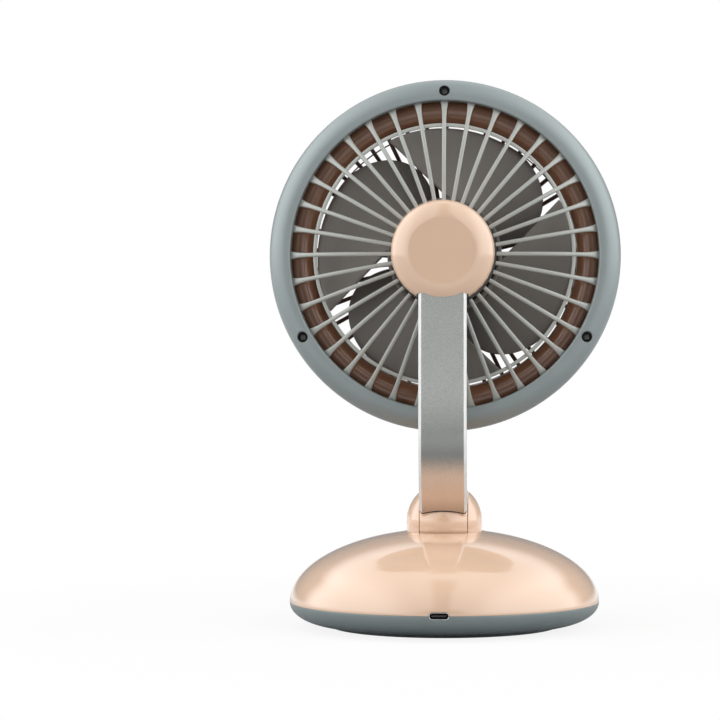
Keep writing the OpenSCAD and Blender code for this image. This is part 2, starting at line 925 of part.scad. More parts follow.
module upper_knuckle() {
    block_y = arm_y - arm_wall - spine_t;
    color(dark)
    across()
    difference() {
        translate([0, 0, -knuckle_half]) linear_extrude(2 * knuckle_half) {
            translate([pin_y, head_z]) circle(r = top_barrel_r);
            translate([pin_y, head_z - knuckle_block_l]) square([block_y - pin_y, knuckle_block_l]);
        }
        translate([pin_y, head_z, -arm_w]) cylinder(r = upper_pin_r + pin_clearance, h = 2 * arm_w);
        for (x = [-knuckle_screw_x, knuckle_screw_x]) {
            translate([pin_y - cut, head_z - knuckle_screw_drop, x]) rotate([0, 90, 0])
                cylinder(r = knuckle_screw_r, h = block_y - pin_y + 2 * cut);
        }
    }
}

module knuckle_screws() {
    color(steel)
    for (x = [-knuckle_screw_x, knuckle_screw_x]) {
        translate([x, pin_y, head_z - knuckle_screw_drop]) rotate([-90, 0, 0]) {
            translate([0, 0, -knuckle_screw_head_h])
                cylinder(r = knuckle_screw_head_r, h = knuckle_screw_head_h);
            cylinder(r = knuckle_screw_r, h = top_r - arm_wall - spine_t);
        }
    }
}

// Section of the ring's two rounds, filled
module rim_crown() {
    intersection() {
        translate([rim_at_r, rim_y]) circle(r = rim_r);
        translate([rim_at_r, rim_y]) square([rim_r + cut, rim_r + cut]);
    }
    translate([rim_at_r, rim_in_y]) circle(r = rim_in_r);
    translate([rim_at_r - rim_in_r, crest_y - rim_in_depth])
        square([rim_in_r + cut, rim_in_depth - rim_in_r]);
}

// Section of the ring's outer shape, filled down to the parting line
module rim_outline() {
    rim_crown();
    translate([rim_at_r - rim_in_r, parting_y - seat_lip_h])
        square([rim_in_r + rim_r, rim_y - parting_y + seat_lip_h]);
}

module rim_section() {
    seat_r = shell_in_r - seat_gap;
    difference() {
        rim_crown();
        intersection() {
            translate([rim_at_r, rim_y]) circle(r = rim_r - head_wall);
            translate([rim_at_r - rim_in_r + head_wall, rim_y - rim_r])
                square([rim_in_r + rim_r, 2 * rim_r]);
        }
    }
    translate([head_r - head_wall, parting_y]) square([head_wall, rim_y - parting_y]);
    translate([seat_r - seat_lip_t, parting_y - seat_lip_h]) square([seat_lip_t, 2 * seat_lip_h]);
    translate([seat_r - seat_lip_t, parting_y])
        square([head_r - head_wall - seat_r + seat_lip_t + seat_gap, seat_lip_h]);
}

module spoke() {
    flare_half = spoke_w * flare_half_share;
    near_half = flare_half * flare_near_share;
    far_half = flare_half * flare_far_share;
    near_r = spoke_out_r - flare_l * flare_start_share;
    radii = [for (i = [0:spoke_steps]) spoke_in_r + (spoke_out_r - spoke_in_r) * i / spoke_steps];
    rear = [for (r = radii) [r, spoke_y(r)]];
    front = [for (i = [spoke_steps:-1:0]) [radii[i], spoke_y(radii[i]) - spoke_depth]];
    intersection() {
        rotate([90, 0, 0]) translate([0, 0, -2 * flare_half]) linear_extrude(4 * flare_half)
            polygon(concat(rear, front));
        translate([0, 0, rim_y - rim_r - cut]) linear_extrude(hub_y - rim_y + rim_r + 2 * cut)
            polygon([
                [0, -spoke_w / 2], [spoke_out_r - flare_l, -spoke_w / 2], [near_r, -near_half],
                [head_r, -far_half], [head_r, far_half], [near_r, near_half],
                [spoke_out_r - flare_l, spoke_w / 2], [0, spoke_w / 2]
            ]);
    }
}

module rear_grille() {
    color(blue_grey)
    on_head_axis()
    difference() {
        union() {
            rotate_extrude() rim_section();
            intersection() {
                rotate_extrude() rim_outline();
                spread(frame_screw_count, frame_screw_at_r, -90)
                    translate([0, 0, parting_y - seat_lip_h]) cylinder(r = rear_boss_r, h = head_r);
            }
            spread(spoke_count, 0, -90) spoke();
            mid_y = spoke_y(mid_ring_r) - mid_ring_drop;
            ring(mid_ring_r + mid_ring_t / 2, mid_ring_r - mid_ring_t / 2,
                mid_y - mid_ring_depth, mid_y);
            translate([0, 0, motor_y]) cylinder(r = hub_r, h = hub_t);
            ring(hub_step_r, hub_step_r - hub_step_t, hub_y, hub_y + hub_step_h);
        }
        spread(frame_screw_count, frame_screw_at_r, -90) frame_screw_hole();
        translate([0, 0, motor_y - cut]) cylinder(r = hub_bore_r, h = hub_t + 2 * cut);
        bracket_places() translate([0, 0, motor_y - cut]) cylinder(r = bracket_screw_r, h = hub_t + 2 * cut);
    }
}

module frame_screw_hole() {
    top = rim_y + rim_r;
    translate([0, 0, top - frame_head_depth - frame_screw_l])
        cylinder(r = frame_screw_r, h = frame_screw_l + cut);
    translate([0, 0, top - frame_head_depth - frame_head_h])
        cylinder(r = frame_hole_r, h = frame_head_depth + frame_head_h + cut);
    translate([0, 0, top - frame_rim_bevel])
        cylinder(r1 = frame_hole_r, r2 = frame_hole_r + frame_rim_bevel, h = frame_rim_bevel);
    translate([0, 0, top]) cylinder(r = frame_hole_r + frame_rim_bevel, h = cut);
}

module frame_screws() {
    seat = rim_y + rim_r - frame_head_depth - frame_head_h;
    color(dark)
    on_head_axis()
    spread(frame_screw_count, frame_screw_at_r, -90) {
        translate([0, 0, seat]) cylinder(r = frame_head_r, h = frame_head_h);
        translate([0, 0, seat - frame_screw_l + frame_head_h])
            cylinder(r = frame_screw_r, h = frame_screw_l);
    }
}

// Section of a cap that is flat on top, with a rounded rim of a given radius
module cap_outline(radius, top, bottom, rounding) {
    translate([0, bottom]) square([radius - rounding, top - bottom]);
    translate([0, bottom]) square([radius, top - rounding - bottom]);
    intersection() {
        translate([radius - rounding, top - rounding]) circle(r = rounding);
        translate([0, bottom]) square([radius, top - bottom]);
    }
}

module hub_cap() {
    slot_half = arm_w / 2 + slot_gap;
    color(peach)
    difference() {
        on_head_axis() rotate_extrude() difference() {
            cap_outline(cap_r, cap_y, hub_y, cap_round);
            cap_outline(cap_r - cap_wall, cap_y - cap_wall, hub_y - cut, cap_in_round);
        }
        translate([-slot_half, hub_y - cut, head_z - 2 * cap_r])
            cube([2 * slot_half, arm_y + run_gap - hub_y + cut, 2 * cap_r - cap_round]);
    }
}

module bracket_places() {
    spread(bracket_screw_count, bracket_screw_at_r, -90) children();
}

module hinge_bracket() {
    color(steel)
    difference() {
        union() {
            on_head_axis() translate([0, 0, hub_y]) cylinder(r = bracket_r, h = hub_step_h);
            for (side = [-1, 1]) {
                translate([side * (ear_in_x + ear_t / 2), 0, 0]) across()
                translate([0, 0, -ear_t / 2]) linear_extrude(ear_t) {
                    translate([pin_y, head_z]) circle(r = top_barrel_r);
                    translate([hub_y + hub_step_h / 2, head_z - top_barrel_r])
                        square([pin_y - hub_y - hub_step_h / 2, 2 * top_barrel_r]);
                }
            }
        }
        translate([0, pin_y, head_z]) rotate([0, 90, 0])
            cylinder(r = upper_pin_r, h = 2 * arm_w, center = true);
        on_head_axis() translate([0, 0, hub_y - cut]) cylinder(r = knuckle_half, h = hub_step_h + 2 * cut);
        on_head_axis() bracket_places()
            translate([0, 0, hub_y - cut]) cylinder(r = bracket_screw_r, h = hub_step_h + 2 * cut);
    }
}

module upper_hinge_pin() {
    color(steel)
    translate([0, pin_y, head_z]) rotate([0, 90, 0])
        cylinder(r = upper_pin_r, h = 2 * upper_pin_half, center = true);
}

module upper_washers() {
    color(dark)
    for (side = [-1, 1]) {
        translate([side * (ear_in_x - washer_t / 2), pin_y, head_z]) rotate([0, 90, 0])
        difference() {
            cylinder(r = washer_r, h = washer_t, center = true);
            cylinder(r = upper_pin_r, h = washer_t + 2 * cut, center = true);
        }
    }
}

module bracket_screws() {
    color(dark)
    on_head_axis() bracket_places() {
        translate([0, 0, hub_y + hub_step_h]) cylinder(r = bracket_screw_head_r, h = bracket_screw_head_h);
        translate([0, 0, motor_y - motor_base_t])
            cylinder(r = bracket_screw_r, h = motor_base_t + hub_t + hub_step_h);
    }
}

module shroud_ring() {
    color(duct_brown)
    on_head_axis()
    difference() {
        bell();
        spread(frame_screw_count, frame_screw_at_r, -90) translate([0, 0, front_y])
            cylinder(r = front_boss_r + boss_hole_gap, h = shell_depth + skirt_h);
    }
}

// Inlet bell: a quarter round, the throat below it, and a slope out to the shell
module bell() {
    centre_y = bell_y - bell_r;
    rotate_extrude() intersection() {
        difference() {
            translate([bell_at_r, centre_y]) circle(r = bell_r);
            translate([bell_at_r, centre_y]) circle(r = bell_r - bell_t);
        }
        translate([throat_r - cut, centre_y]) square([bell_r + cut, bell_r + cut]);
    }
    rotate_extrude() polygon([
        [throat_r, centre_y], [throat_r + bell_t / 2, centre_y + bell_t / 2], [throat_r + bell_t, centre_y],
        [throat_r + bell_t, centre_y - throat_l], [throat_r, centre_y - throat_l]
    ]);
    rotate_extrude() polygon([
        [bell_at_r, bell_y], [shell_in_r, bell_y - bell_fall],
        [shell_in_r, bell_y - bell_fall - bell_t], [bell_at_r, bell_y - bell_t],
        [bell_at_r - bell_t, bell_y - bell_t * bell_join_share]
    ]);
}

module front_shell() {
    color(peach)
    on_head_axis()
    difference() {
        union() {
            rotate_extrude() difference() {
                union() {
                    translate([duct_r, front_y]) square([shell_r - shell_round - duct_r, shell_depth]);
                    translate([duct_r, front_y + shell_round])
                        square([shell_r - duct_r, shell_depth - shell_round]);
                    translate([shell_r - shell_round, front_y + shell_round]) circle(r = shell_round);
                    translate([duct_r, front_y]) square([head_wall, duct_top_y - front_y]);
                }
                front_shell_hollow();
            }
            spread(frame_screw_count, frame_screw_at_r, -90) translate([0, 0, front_y + head_wall / 2])
                cylinder(r = front_boss_r, h = shell_depth - head_wall / 2 - seat_lip_h);
        }
        spread(frame_screw_count, frame_screw_at_r, -90)
            translate([0, 0, rim_y + rim_r - frame_head_depth - frame_screw_l])
            cylinder(r = frame_screw_r, h = frame_screw_l);
    }
}

// Section of the space inside the front shell, open to the rear
module front_shell_hollow() {
    inner_round = shell_round - head_wall;
    width = shell_in_r - duct_out_r;
    translate([duct_out_r, front_y + head_wall]) square([width - inner_round, shell_depth]);
    translate([duct_out_r, front_y + shell_round]) square([width, shell_depth]);
    translate([shell_in_r - inner_round, front_y + shell_round]) circle(r = inner_round);
}

module front_grille() {
    radii = [for (i = [0:bar_steps]) bar_in_r + (duct_r - grille_ring_t / 2 - bar_in_r) * i / bar_steps];
    front = [for (r = radii) [r, bar_y(r)]];
    rear = [for (i = [bar_steps:-1:0]) [radii[i], bar_y(radii[i]) + bar_depth]];
    color(duct_brown)
    on_head_axis()
    union() {
        ring(duct_r, duct_r - grille_ring_t, front_y, front_y + grille_ring_h);
        spread(bar_count, 0, -90) rotate([90, 0, 0]) translate([0, 0, -bar_w / 2])
            linear_extrude(bar_w) polygon(concat(front, rear));
        translate([0, 0, grille_hub_y]) cylinder(r = grille_hub_r, h = bar_depth + 2 * grille_hub_over);
    }
}

module front_badge() {
    color(blue_grey)
    on_head_axis() translate([0, 0, grille_hub_y - badge_t]) cylinder(r = badge_r, h = badge_t);
}

module motor_base() {
    color(dark)
    on_head_axis()
    difference() {
        union() {
            translate([0, 0, motor_y - motor_base_t]) cylinder(r = motor_base_r, h = motor_base_t);
            translate([0, 0, motor_y - tube_l]) cylinder(r = tube_r, h = tube_l);
        }
        translate([0, 0, motor_y - tube_l - cut]) cylinder(r = bearing_r, h = tube_l + 2 * cut);
        bracket_places() translate([0, 0, motor_y - motor_base_t - cut])
            cylinder(r = bracket_screw_r, h = motor_base_t + 2 * cut);
    }
}

module motor_board() {
    color(board_green)
    on_head_axis()
    difference() {
        ring(motor_board_r, tube_r, motor_y - motor_base_t - motor_board_t, motor_y - motor_base_t);
        bracket_places() translate([0, 0, motor_y - motor_base_t - motor_board_t - cut])
            cylinder(r = bracket_screw_head_r, h = motor_board_t + 2 * cut);
    }
}

module stator_core() {
    color(steel)
    on_head_axis() translate([0, 0, motor_y - stator_drop - stator_h])
    linear_extrude(stator_h)
    difference() {
        union() {
            circle(r = tooth_ring_r);
            intersection() {
                circle(r = stator_r);
                for (i = [0:tooth_count - 1]) {
                    rotate(360 * i / tooth_count) {
                        translate([0, -tooth_w / 2]) square([stator_r, tooth_w]);
                        translate([stator_r - shoe_t, -shoe_w / 2]) square([shoe_t, shoe_w]);
                    }
                }
            }
        }
        circle(r = tube_r);
    }
}

module stator_coils() {
    coil_l = stator_r - shoe_t - tooth_ring_r - 2 * bearing_play;
    color(copper)
    on_head_axis()
    spread(tooth_count, tooth_ring_r + bearing_play) translate([0, 0, motor_y - stator_drop - stator_h])
    difference() {
        translate([0, -coil_w / 2, -coil_over]) cube([coil_l, coil_w, stator_h + 2 * coil_over]);
        translate([-cut, -tooth_w / 2, 0]) cube([coil_l + 2 * cut, tooth_w, stator_h]);
    }
}

module motor_bearings() {
    color(steel)
    on_head_axis()
    for (drop = [rear_bearing_drop, front_bearing_drop]) {
        ring(bearing_r, shaft_r + bearing_play, motor_y - drop, motor_y - drop + bearing_t);
    }
}

module rotor_cup() {
    color(steel)
    on_head_axis()
    difference() {
        translate([0, 0, motor_y - rotor_end_drop - rotor_wall])
            cylinder(r = rotor_r, h = rotor_end_drop + rotor_wall - rotor_open_drop);
        translate([0, 0, motor_y - rotor_end_drop]) cylinder(r = rotor_r - rotor_wall, h = rotor_end_drop);
        translate([0, 0, motor_y - rotor_end_drop - rotor_wall - cut])
            cylinder(r = shaft_r, h = rotor_end_drop);
    }
}

module rotor_magnet() {
    color(dark)
    on_head_axis()
        ring(rotor_r - rotor_wall, rotor_r - rotor_wall - magnet_t,
            motor_y - magnet_drop - magnet_h, motor_y - magnet_drop);
}

module motor_shaft() {
    front = motor_y - hub_end_drop - hub_end_t - nut_grip_h - shaft_front_over;
    color(steel)
    on_head_axis() translate([0, 0, front]) cylinder(r = shaft_r, h = motor_y - shaft_rear_drop - front);
}

module shaft_clip() {
    rear = motor_y - rear_bearing_drop + bearing_t + bearing_play + clip_t;
    color(dark)
    on_head_axis() ring(clip_r, shaft_r, rear - clip_t, rear);
}

module impeller_nut() {
    color(dark)
    on_head_axis()
        ring(nut_grip_r, shaft_r, motor_y - hub_end_drop - hub_end_t - nut_grip_h,
            motor_y - hub_end_drop - hub_end_t);
}

// Point of a blade's middle surface: out from the hub to the tip, and back from the leading edge
function blade_point(out, back) =
    let (
        t = sin(90 * out),
        root_r = impeller_hub_r - blade_root,
        a = [root_r * cos(lead_hub_angle), root_r * sin(lead_hub_angle)],
        b = [impeller_r * cos(lead_tip_angle), impeller_r * sin(lead_tip_angle)],
        lead = a + (b - a) * t,
        lead_angle = atan2(lead[1], lead[0]),
        trail_angle = trail_hub_angle + trail_curl * (1 - cos(90 * out)),
        trail_r = root_r + (impeller_r - root_r) * t,
        r = norm(lead) + (trail_r - norm(lead)) * back,
        angle = lead_angle + (trail_angle - lead_angle) * back,
        lead_drop = lead_hub_drop + (lead_tip_drop - lead_hub_drop) * t,
        trail_drop = trail_hub_drop + (trail_tip_drop - trail_hub_drop) * t,
        drop = lead_drop + (trail_drop - lead_drop) * back
    )
    [r * cos(angle), r * sin(angle), motor_y - drop];

module blade() {
    n = blade_steps;
    row = n + 1;
    layer = row * row;
    points = [
        for (side = [-1, 1], i = [0:n], j = [0:n])
        blade_point(i / n, j / n) + [0, 0, side * blade_t / 2]
    ];
    rear = [
        for (i = [0:n - 1], j = [0:n - 1])
        let (p = layer + i * row + j)
        each [[p, p + row, p + row + 1], [p, p + row + 1, p + 1]]
    ];
    front = [for (f = rear) [f[2] - layer, f[1] - layer, f[0] - layer]];
    sides = [
        for (i = [0:n - 1])
        each [
            edge_quad(i * row, (i + 1) * row, layer), edge_quad((i + 1) * row + n, i * row + n, layer),
            edge_quad(i + 1, i, layer), edge_quad(n * row + i, n * row + i + 1, layer)
        ]
    ];
    polyhedron(points, concat(rear, front, [for (q = sides) each q]));
}

// Two triangles that close a blade between its layers, along the edge from a to b
function edge_quad(a, b, layer) = [[a, b, b + layer], [a, b + layer, a + layer]];

module impeller() {
    end_z = motor_y - hub_end_drop - hub_end_t;
    open_z = motor_y - hub_open_drop;
    boss_top = motor_y - rotor_end_drop - rotor_wall;
    color(blade_grey)
    on_head_axis()
    difference() {
        union() {
            ring(impeller_hub_r, impeller_hub_r - hub_wall, end_z, open_z);
            translate([0, 0, end_z]) cylinder(r = impeller_hub_r, h = hub_end_t);
            translate([0, 0, end_z]) cylinder(r = shaft_r + boss_wall, h = boss_top - end_z);
            ring(rotor_r + rotor_sleeve_t, rotor_r, end_z, end_z + hub_end_t + rotor_sleeve_h);
            spread(blade_count, 0) blade();
        }
        translate([0, 0, end_z - cut]) cylinder(r = shaft_r, h = hub_end_drop);
    }
}

base_top_shell();
base_bottom_shell();
foot_pad();
ballast_plate();
battery_trays();
battery_cells();
control_board();
board_parts();
usb_port();
button_board();
button_switch();
indicator_lenses();
base_screws();
bearing_plate();
bearing_plate_screws();
swivel_stop_pin();
power_button();
turret_shell();
turret_nut();
lower_hinge_pin();
lower_friction_discs();
turret_side_caps();
lower_knuckle();
arm_rear_shell();
arm_front_cover();
arm_spine();
arm_lead();
upper_knuckle();
knuckle_screws();
rear_grille();
hub_cap();
frame_screws();
hinge_bracket();
upper_hinge_pin();
upper_washers();
bracket_screws();
shroud_ring();
front_shell();
front_grille();
front_badge();
motor_base();
motor_board();
stator_core();
stator_coils();
motor_bearings();
impeller();
rotor_cup();
rotor_magnet();
motor_shaft();
impeller_nut();
shaft_clip();
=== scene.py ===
"""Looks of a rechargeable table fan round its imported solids.

Shapes are worked out in millimetres with numpy and put into meshes in metres. +Z is up, +Y is the
rear, where the arm and the charging port are, and the air leaves towards -Y.
"""

import math

import bmesh
import bpy
import numpy as np
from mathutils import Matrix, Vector

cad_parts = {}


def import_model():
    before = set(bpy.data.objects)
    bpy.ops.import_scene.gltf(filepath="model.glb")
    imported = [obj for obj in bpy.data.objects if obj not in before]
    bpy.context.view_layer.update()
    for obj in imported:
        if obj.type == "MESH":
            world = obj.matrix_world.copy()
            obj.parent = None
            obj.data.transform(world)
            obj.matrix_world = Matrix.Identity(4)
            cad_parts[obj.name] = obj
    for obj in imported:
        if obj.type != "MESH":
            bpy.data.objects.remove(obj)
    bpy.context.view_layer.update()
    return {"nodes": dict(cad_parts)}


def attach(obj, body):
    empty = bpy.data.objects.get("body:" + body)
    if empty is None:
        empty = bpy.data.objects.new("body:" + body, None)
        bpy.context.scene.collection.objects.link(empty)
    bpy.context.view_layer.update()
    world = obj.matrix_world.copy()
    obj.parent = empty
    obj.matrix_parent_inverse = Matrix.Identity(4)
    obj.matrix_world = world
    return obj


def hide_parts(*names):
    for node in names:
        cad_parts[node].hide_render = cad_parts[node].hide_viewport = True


MM = 0.001

# Camera: the photograph is 720 pixels wide, and its horizon and axis are off its middle
LENS = 107.15
CAMERA_PLACE = (-0.033, 1.0, 0.1081)
FRAME_SHIFT = (-0.1172, 0.047)

# Light: what mirrors see of the studio and of its white tent, the fill, the floor's card, and the
# lamps' levels
SKY_LEVEL = 0.22
TENT_LEVEL = 1.35
TENT_SIDE_LEVEL = 2.5
HORIZON_LEVEL = 0.8
BACK_LEVEL = 0.28
FILL_LEVEL = 0.34
CARD_LEVEL = 0.5
CARD_MIRROR_LEVEL = 0.65
SIDE_LEVEL = 1.95
TOP_LEVEL = 0.8

# Heights in metres where painted shade darkens the arm, a painted reflection of the peach dome covers it,
# and painted shade darkens it again
PAINTED_SHADE_BAND = (0.074, 0.112)
PAINTED_REFLECTION_BAND = (0.069, 0.0815)
PAINTED_SHADE_NEAR_BALL = (0.052, 0.062)

# Distances in metres over which the floor gets white to the camera and to mirrors
FLOOR_SEEN = (0.08, 0.4)
FLOOR_MIRRORED = (0.16, 0.5)

# Base, millimetres
BASE_R = 72.0
SEAM_Z = 11.6
DOME_H = 33.6
BASE_WALL = 2.4
FOOT_R = 53.0
FOOT_H = 1.2
OPENING_R = 18.2
COLLAR_Z = 36.0
PORT_W = 9.1
PORT_H = 3.3
PORT_Y = 71.6
PORT_DEPTH = 7.3
BUTTON_AT_R = 45.0
BUTTON_R = 7.0
BUTTON_GAP = 0.4
BUTTON_PROUD = 0.3
LENS_AT_R = 58.0
LENS_R = 0.9
LENS_ANGLES = (-9.0, -3.0, 3.0, 9.0)

# Turret and arm
BALL_R = 17.6
BALL_Z = 49.0
SLOT_HALF = 11.2
NECK_Z = 35.7
KNUCKLE_HALF = 11.0
ARM_HALF = 11.0
ARM_T = 6.0
ARM_Y = 28.0
ARM_WALL = 1.6
ARM_CHAMFER = 1.3
ARM_END_GAP = 0.9
ARM_END_CURVE = 0.42
BEND_R = 68.0
BEND_Z = 90.6
TOP_R = 11.0
TOP_ANGLE = 50.0

# Head
HEAD_Z = 173.0
HEAD_R = 82.55
CREST_Y = 1.0
RIM_R = 8.0
RIM_AT_R = 74.55
RIM_IN_R = 2.5
RIM_IN_DEPTH = 7.0
PARTING_Y = -11.0
HUB_Y = 8.0
HUB_R = 22.4
SPOKE_COUNT = 36
SPOKE_IN_R = 19.4
SPOKE_OUT_R = 73.8
SPOKE_W = 2.0
SPOKE_DEPTH = 2.2
SPOKE_RIM_Y = -2.0
SPOKE_POWER = 2.9
MID_RING_R = 60.4
SCREW_AT_R = 76.7
SCREW_ANGLES = (-90.0, 30.0, 150.0)
SCREW_HOLE_R = 2.5
SCREW_BEVEL = 0.6
SCREW_DEPTH = 3.4
SCREW_HEAD_R = 2.3
CAP_R = 23.75
CAP_FLAT_R = 15.2
CAP_RIM = (9.95, 7.2)
CAP_WALL = 2.0
CAP_Y = 30.4
CAP_SLOT_HALF = 11.9
SHELL_R = 82.3
SHELL_ROUND = 8.0
FRONT_Y = -36.0
DUCT_R = 66.4
DUCT_TOP_Y = -8.7
THROAT_R = 61.8
THROAT_L = 3.0
BELL_R = 7.0
BELL_Y = -6.0
BELL_T = 1.8
HEAD_WALL = 2.0
BAR_COUNT = 42
WIRE_R = 62.1
BAR_W = 2.0
BAR_DEPTH = 2.4
BAR_IN_R = 18.0
BAR_POWER = 2.2
GRILLE_RISE = 6.0
GRILLE_HUB_R = 20.0
GRILLE_HUB_OVER = 0.4
BADGE_R = 18.5
BADGE_T = 1.2

# Impeller
MOTOR_Y = 5.0
BLADE_COUNT = 4
BLADE_T = 1.6
IMPELLER_R = 59.6
IMPELLER_HUB_R = 26.8


# Meshes: arrays of points and quads

def at(*parts):
    """Points out of their coordinates, each stretched to the shape of them all."""
    return np.stack(np.broadcast_arrays(*parts), -1)


def grid_quads(rows, columns, loop_rows=False, loop_columns=False):
    """Quads of a grid of points numbered row by row, each joining a point to the next row and column."""
    i = np.arange(rows if loop_rows else rows - 1)[:, None]
    j = np.arange(columns if loop_columns else columns - 1)[None, :]
    i2, j2 = (i + 1) % rows, (j + 1) % columns
    return at(i * columns + j, i2 * columns + j, i2 * columns + j2, i * columns + j2).reshape(-1, 4)


def outward(points, quads):
    """Turns the quads of a closed surface over if its signed volume, the sum of the boxes between
    each triangle and the origin, is negative."""
    a, b, c, d = (points[quads[:, k]] for k in range(4))
    volume = np.einsum("ij,ij->i", a, np.cross(b, c)).sum()
    volume += np.einsum("ij,ij->i", a, np.cross(c, d)).sum()
    return (points, quads) if volume > 0 else (points, quads[:, ::-1])


def joined(*surfaces):
    """One surface out of several: the point numbers of each start after those before it."""
    points, quads, start = [], [], 0
    for surface_points, surface_quads in surfaces:
        points.append(surface_points)
        quads.append(surface_quads + start)
        start += len(surface_points)
    return np.concatenate(points), np.concatenate(quads)


def unit(vectors):
    """The vectors at length one."""
    return vectors / np.linalg.norm(vectors, axis=-1, keepdims=True)


def rounded(corners, steps=5):
    """Outline with rounded corners. Each corner is (x, y, radius): the arc touches both sides, so it
    starts at radius / tan(half the corner's angle) from the corner."""
    corners = np.asarray(corners, float)
    p, r = corners[:, :2], np.maximum(corners[:, 2], 1e-4)[:, None]
    before, after = unit(np.roll(p, 1, 0) - p), unit(np.roll(p, -1, 0) - p)
    half = np.arccos(np.clip((before * after).sum(1), -1, 1))[:, None] / 2
    centre = p + unit(before + after) * r / np.sin(half)
    start, end = p + before * r / np.tan(half) - centre, p + after * r / np.tan(half) - centre
    a0 = np.arctan2(start[:, 1], start[:, 0])
    turn = (np.arctan2(end[:, 1], end[:, 0]) - a0 + math.pi) % (2 * math.pi) - math.pi
    angle = a0[:, None] + turn[:, None] * np.linspace(0, 1, steps + 1)
    return (at(np.cos(angle), np.sin(angle)) * r[:, :, None] + centre[:, None]).reshape(-1, 2)


def arc(centre, half_sizes, start, end, steps):
    """Points of an ellipse round a centre, from one angle in degrees to another."""
    a = np.radians(np.linspace(start, end, steps + 1))
    return at(centre[0] + half_sizes[0] * np.cos(a), centre[1] + half_sizes[1] * np.sin(a))


def lathe(profile, steps):
    """Closed surface of revolution: each point (radius, height) of a closed outline is carried round +Z."""
    profile = np.asarray(profile, float)
    a = np.linspace(0, 2 * math.pi, steps, endpoint=False)[:, None]
    r, z = profile[:, 0], profile[:, 1]
    points = at(r * np.cos(a), r * np.sin(a), z).reshape(-1, 3)
    return outward(points, grid_quads(steps, len(profile), True, True))


def disc(inner_r, outer_r, first_z, last_z, rounds, steps, soft=5):
    """Ring or disc: a rectangle from the first radius and height to the last, with a round at each
    corner in turn, carried round +Z."""
    corners = (inner_r, first_z), (outer_r, first_z), (outer_r, last_z), (inner_r, last_z)
    return lathe(rounded([(*corner, r) for corner, r in zip(corners, rounds)], soft), steps)


def turned(surface, degrees):
    """A surface turned about +Z."""
    a = math.radians(degrees)
    turn = np.array([[math.cos(a), -math.sin(a), 0], [math.sin(a), math.cos(a), 0], [0, 0, 1]])
    return surface[0] @ turn.T, surface[1]


def spread(surface, angles):
    """Copies of a surface turned about +Z to each angle, as one surface."""
    return joined(*(turned(surface, angle) for angle in angles))


def moved(surface, x=0.0, z=0.0):
    """A surface shifted sideways and up."""
    return surface[0] + np.array([x, 0.0, z]), surface[1]


def on_head_axis(surface):
    """A surface drawn about +Z put on the head's axis, its +Z towards the rear."""
    p = surface[0]
    return at(p[:, 0], p[:, 2], HEAD_Z - p[:, 1]), surface[1]


def on_ball_axis(surface):
    """A surface drawn about +Z put on the ball's cross axis, its +Z towards +X."""
    p = surface[0]
    return at(p[:, 2], p[:, 1], BALL_Z - p[:, 0]), surface[1]


def on_dome(surface, radius, degrees=0.0):
    """A surface drawn about +Z stood on the dome's front, its +Z along the dome's normal there."""
    share = math.sqrt(1 - (radius / BASE_R) ** 2)
    tilt = math.atan2(radius / BASE_R**2, share / DOME_H)
    c, s = math.cos(tilt), math.sin(tilt)
    p = surface[0] @ np.array([[1, 0, 0], [0, c, -s], [0, s, c]]).T
    return turned((p + np.array([0, -radius, SEAM_Z + DOME_H * share]), surface[1]), degrees)


def capped(grid):
    """Closed bar out of rows of points. Its ends are fans that meet at the middle of their row."""
    rows, columns = grid.shape[:2]
    ends = np.stack([grid[0].mean(0), grid[-1].mean(0)])
    j = np.arange(columns)
    j2, last, middle = (j + 1) % columns, (rows - 1) * columns, rows * columns
    fans = at(j, j2, middle, middle), at(last + j2, last + j, middle + 1, middle + 1)
    quads = np.concatenate([grid_quads(rows, columns, False, True), *fans])
    return outward(np.concatenate([grid.reshape(-1, 3), ends]), quads)


def swept(section, path, side=(1, 0, 0), up=(0, 0, 1)):
    """Closed bar: section points (across, out) stand on each path point, along its side and up
    vectors. There is one section and one of each vector, or one for each path point."""
    path = np.asarray(path)
    side, up = (np.broadcast_to(v, path.shape)[:, None] for v in (side, up))
    return capped(section[..., :1] * side + section[..., 1:] * up + path[:, None])


def superellipse(half_width, half_depth, power, steps):
    """Rounded rectangle: x is the half width times the cosine raised to 2/power, y the same with the
    half depth and the sine, each with its sign."""
    a = np.linspace(0, 2 * math.pi, steps, endpoint=False)
    x, y = (np.sign(w) * np.abs(w) ** (2 / power) for w in (np.cos(a), np.sin(a)))
    return at(np.asarray(half_width)[..., None] * x, np.asarray(half_depth)[..., None] * y)


def radial_bars(r, height, half_width, half_depth, steps, count):
    """Bars set evenly round +Z, the first straight down on the head: each is a rounded rectangle
    carried outwards through the heights that go with the radii."""
    section = superellipse(half_width, half_depth, 3, steps)
    bar = swept(section, at(r, 0, height), (0, 1, 0))
    return spread(bar, 360 / count * np.arange(count) - 90)


# Pieces: Blender objects

def mesh_object(name, surface):
    """A mesh object in metres, with doubled points merged, so that poles and closed ends are whole."""
    points, quads = surface
    mesh = bpy.data.meshes.new(name)
    mesh.from_pydata(points * MM, [], quads)
    shape = bmesh.new()
    shape.from_mesh(mesh)
    bmesh.ops.remove_doubles(shape, verts=shape.verts, dist=1e-7)
    bmesh.ops.dissolve_degenerate(shape, edges=shape.edges, dist=1e-8)
    shape.to_mesh(mesh)
    shape.free()
    piece = bpy.data.objects.new(name, mesh)
    bpy.context.scene.collection.objects.link(piece)
    return piece


def cut(piece, surfaces):
    """Takes closed surfaces away from a piece for good."""
    cutters = [mesh_object("cutter", surface) for surface in surfaces]
    for cutter in cutters:
        step = piece.modifiers.new("cut", "BOOLEAN")
        step.operation = "DIFFERENCE"
        step.solver = "EXACT"
        step.object = cutter
    shown = piece.evaluated_get(bpy.context.evaluated_depsgraph_get())
    mesh = bpy.data.meshes.new_from_object(shown)
    piece.modifiers.clear()
    piece.data = mesh
    for cutter in cutters:
        bpy.data.objects.remove(cutter)


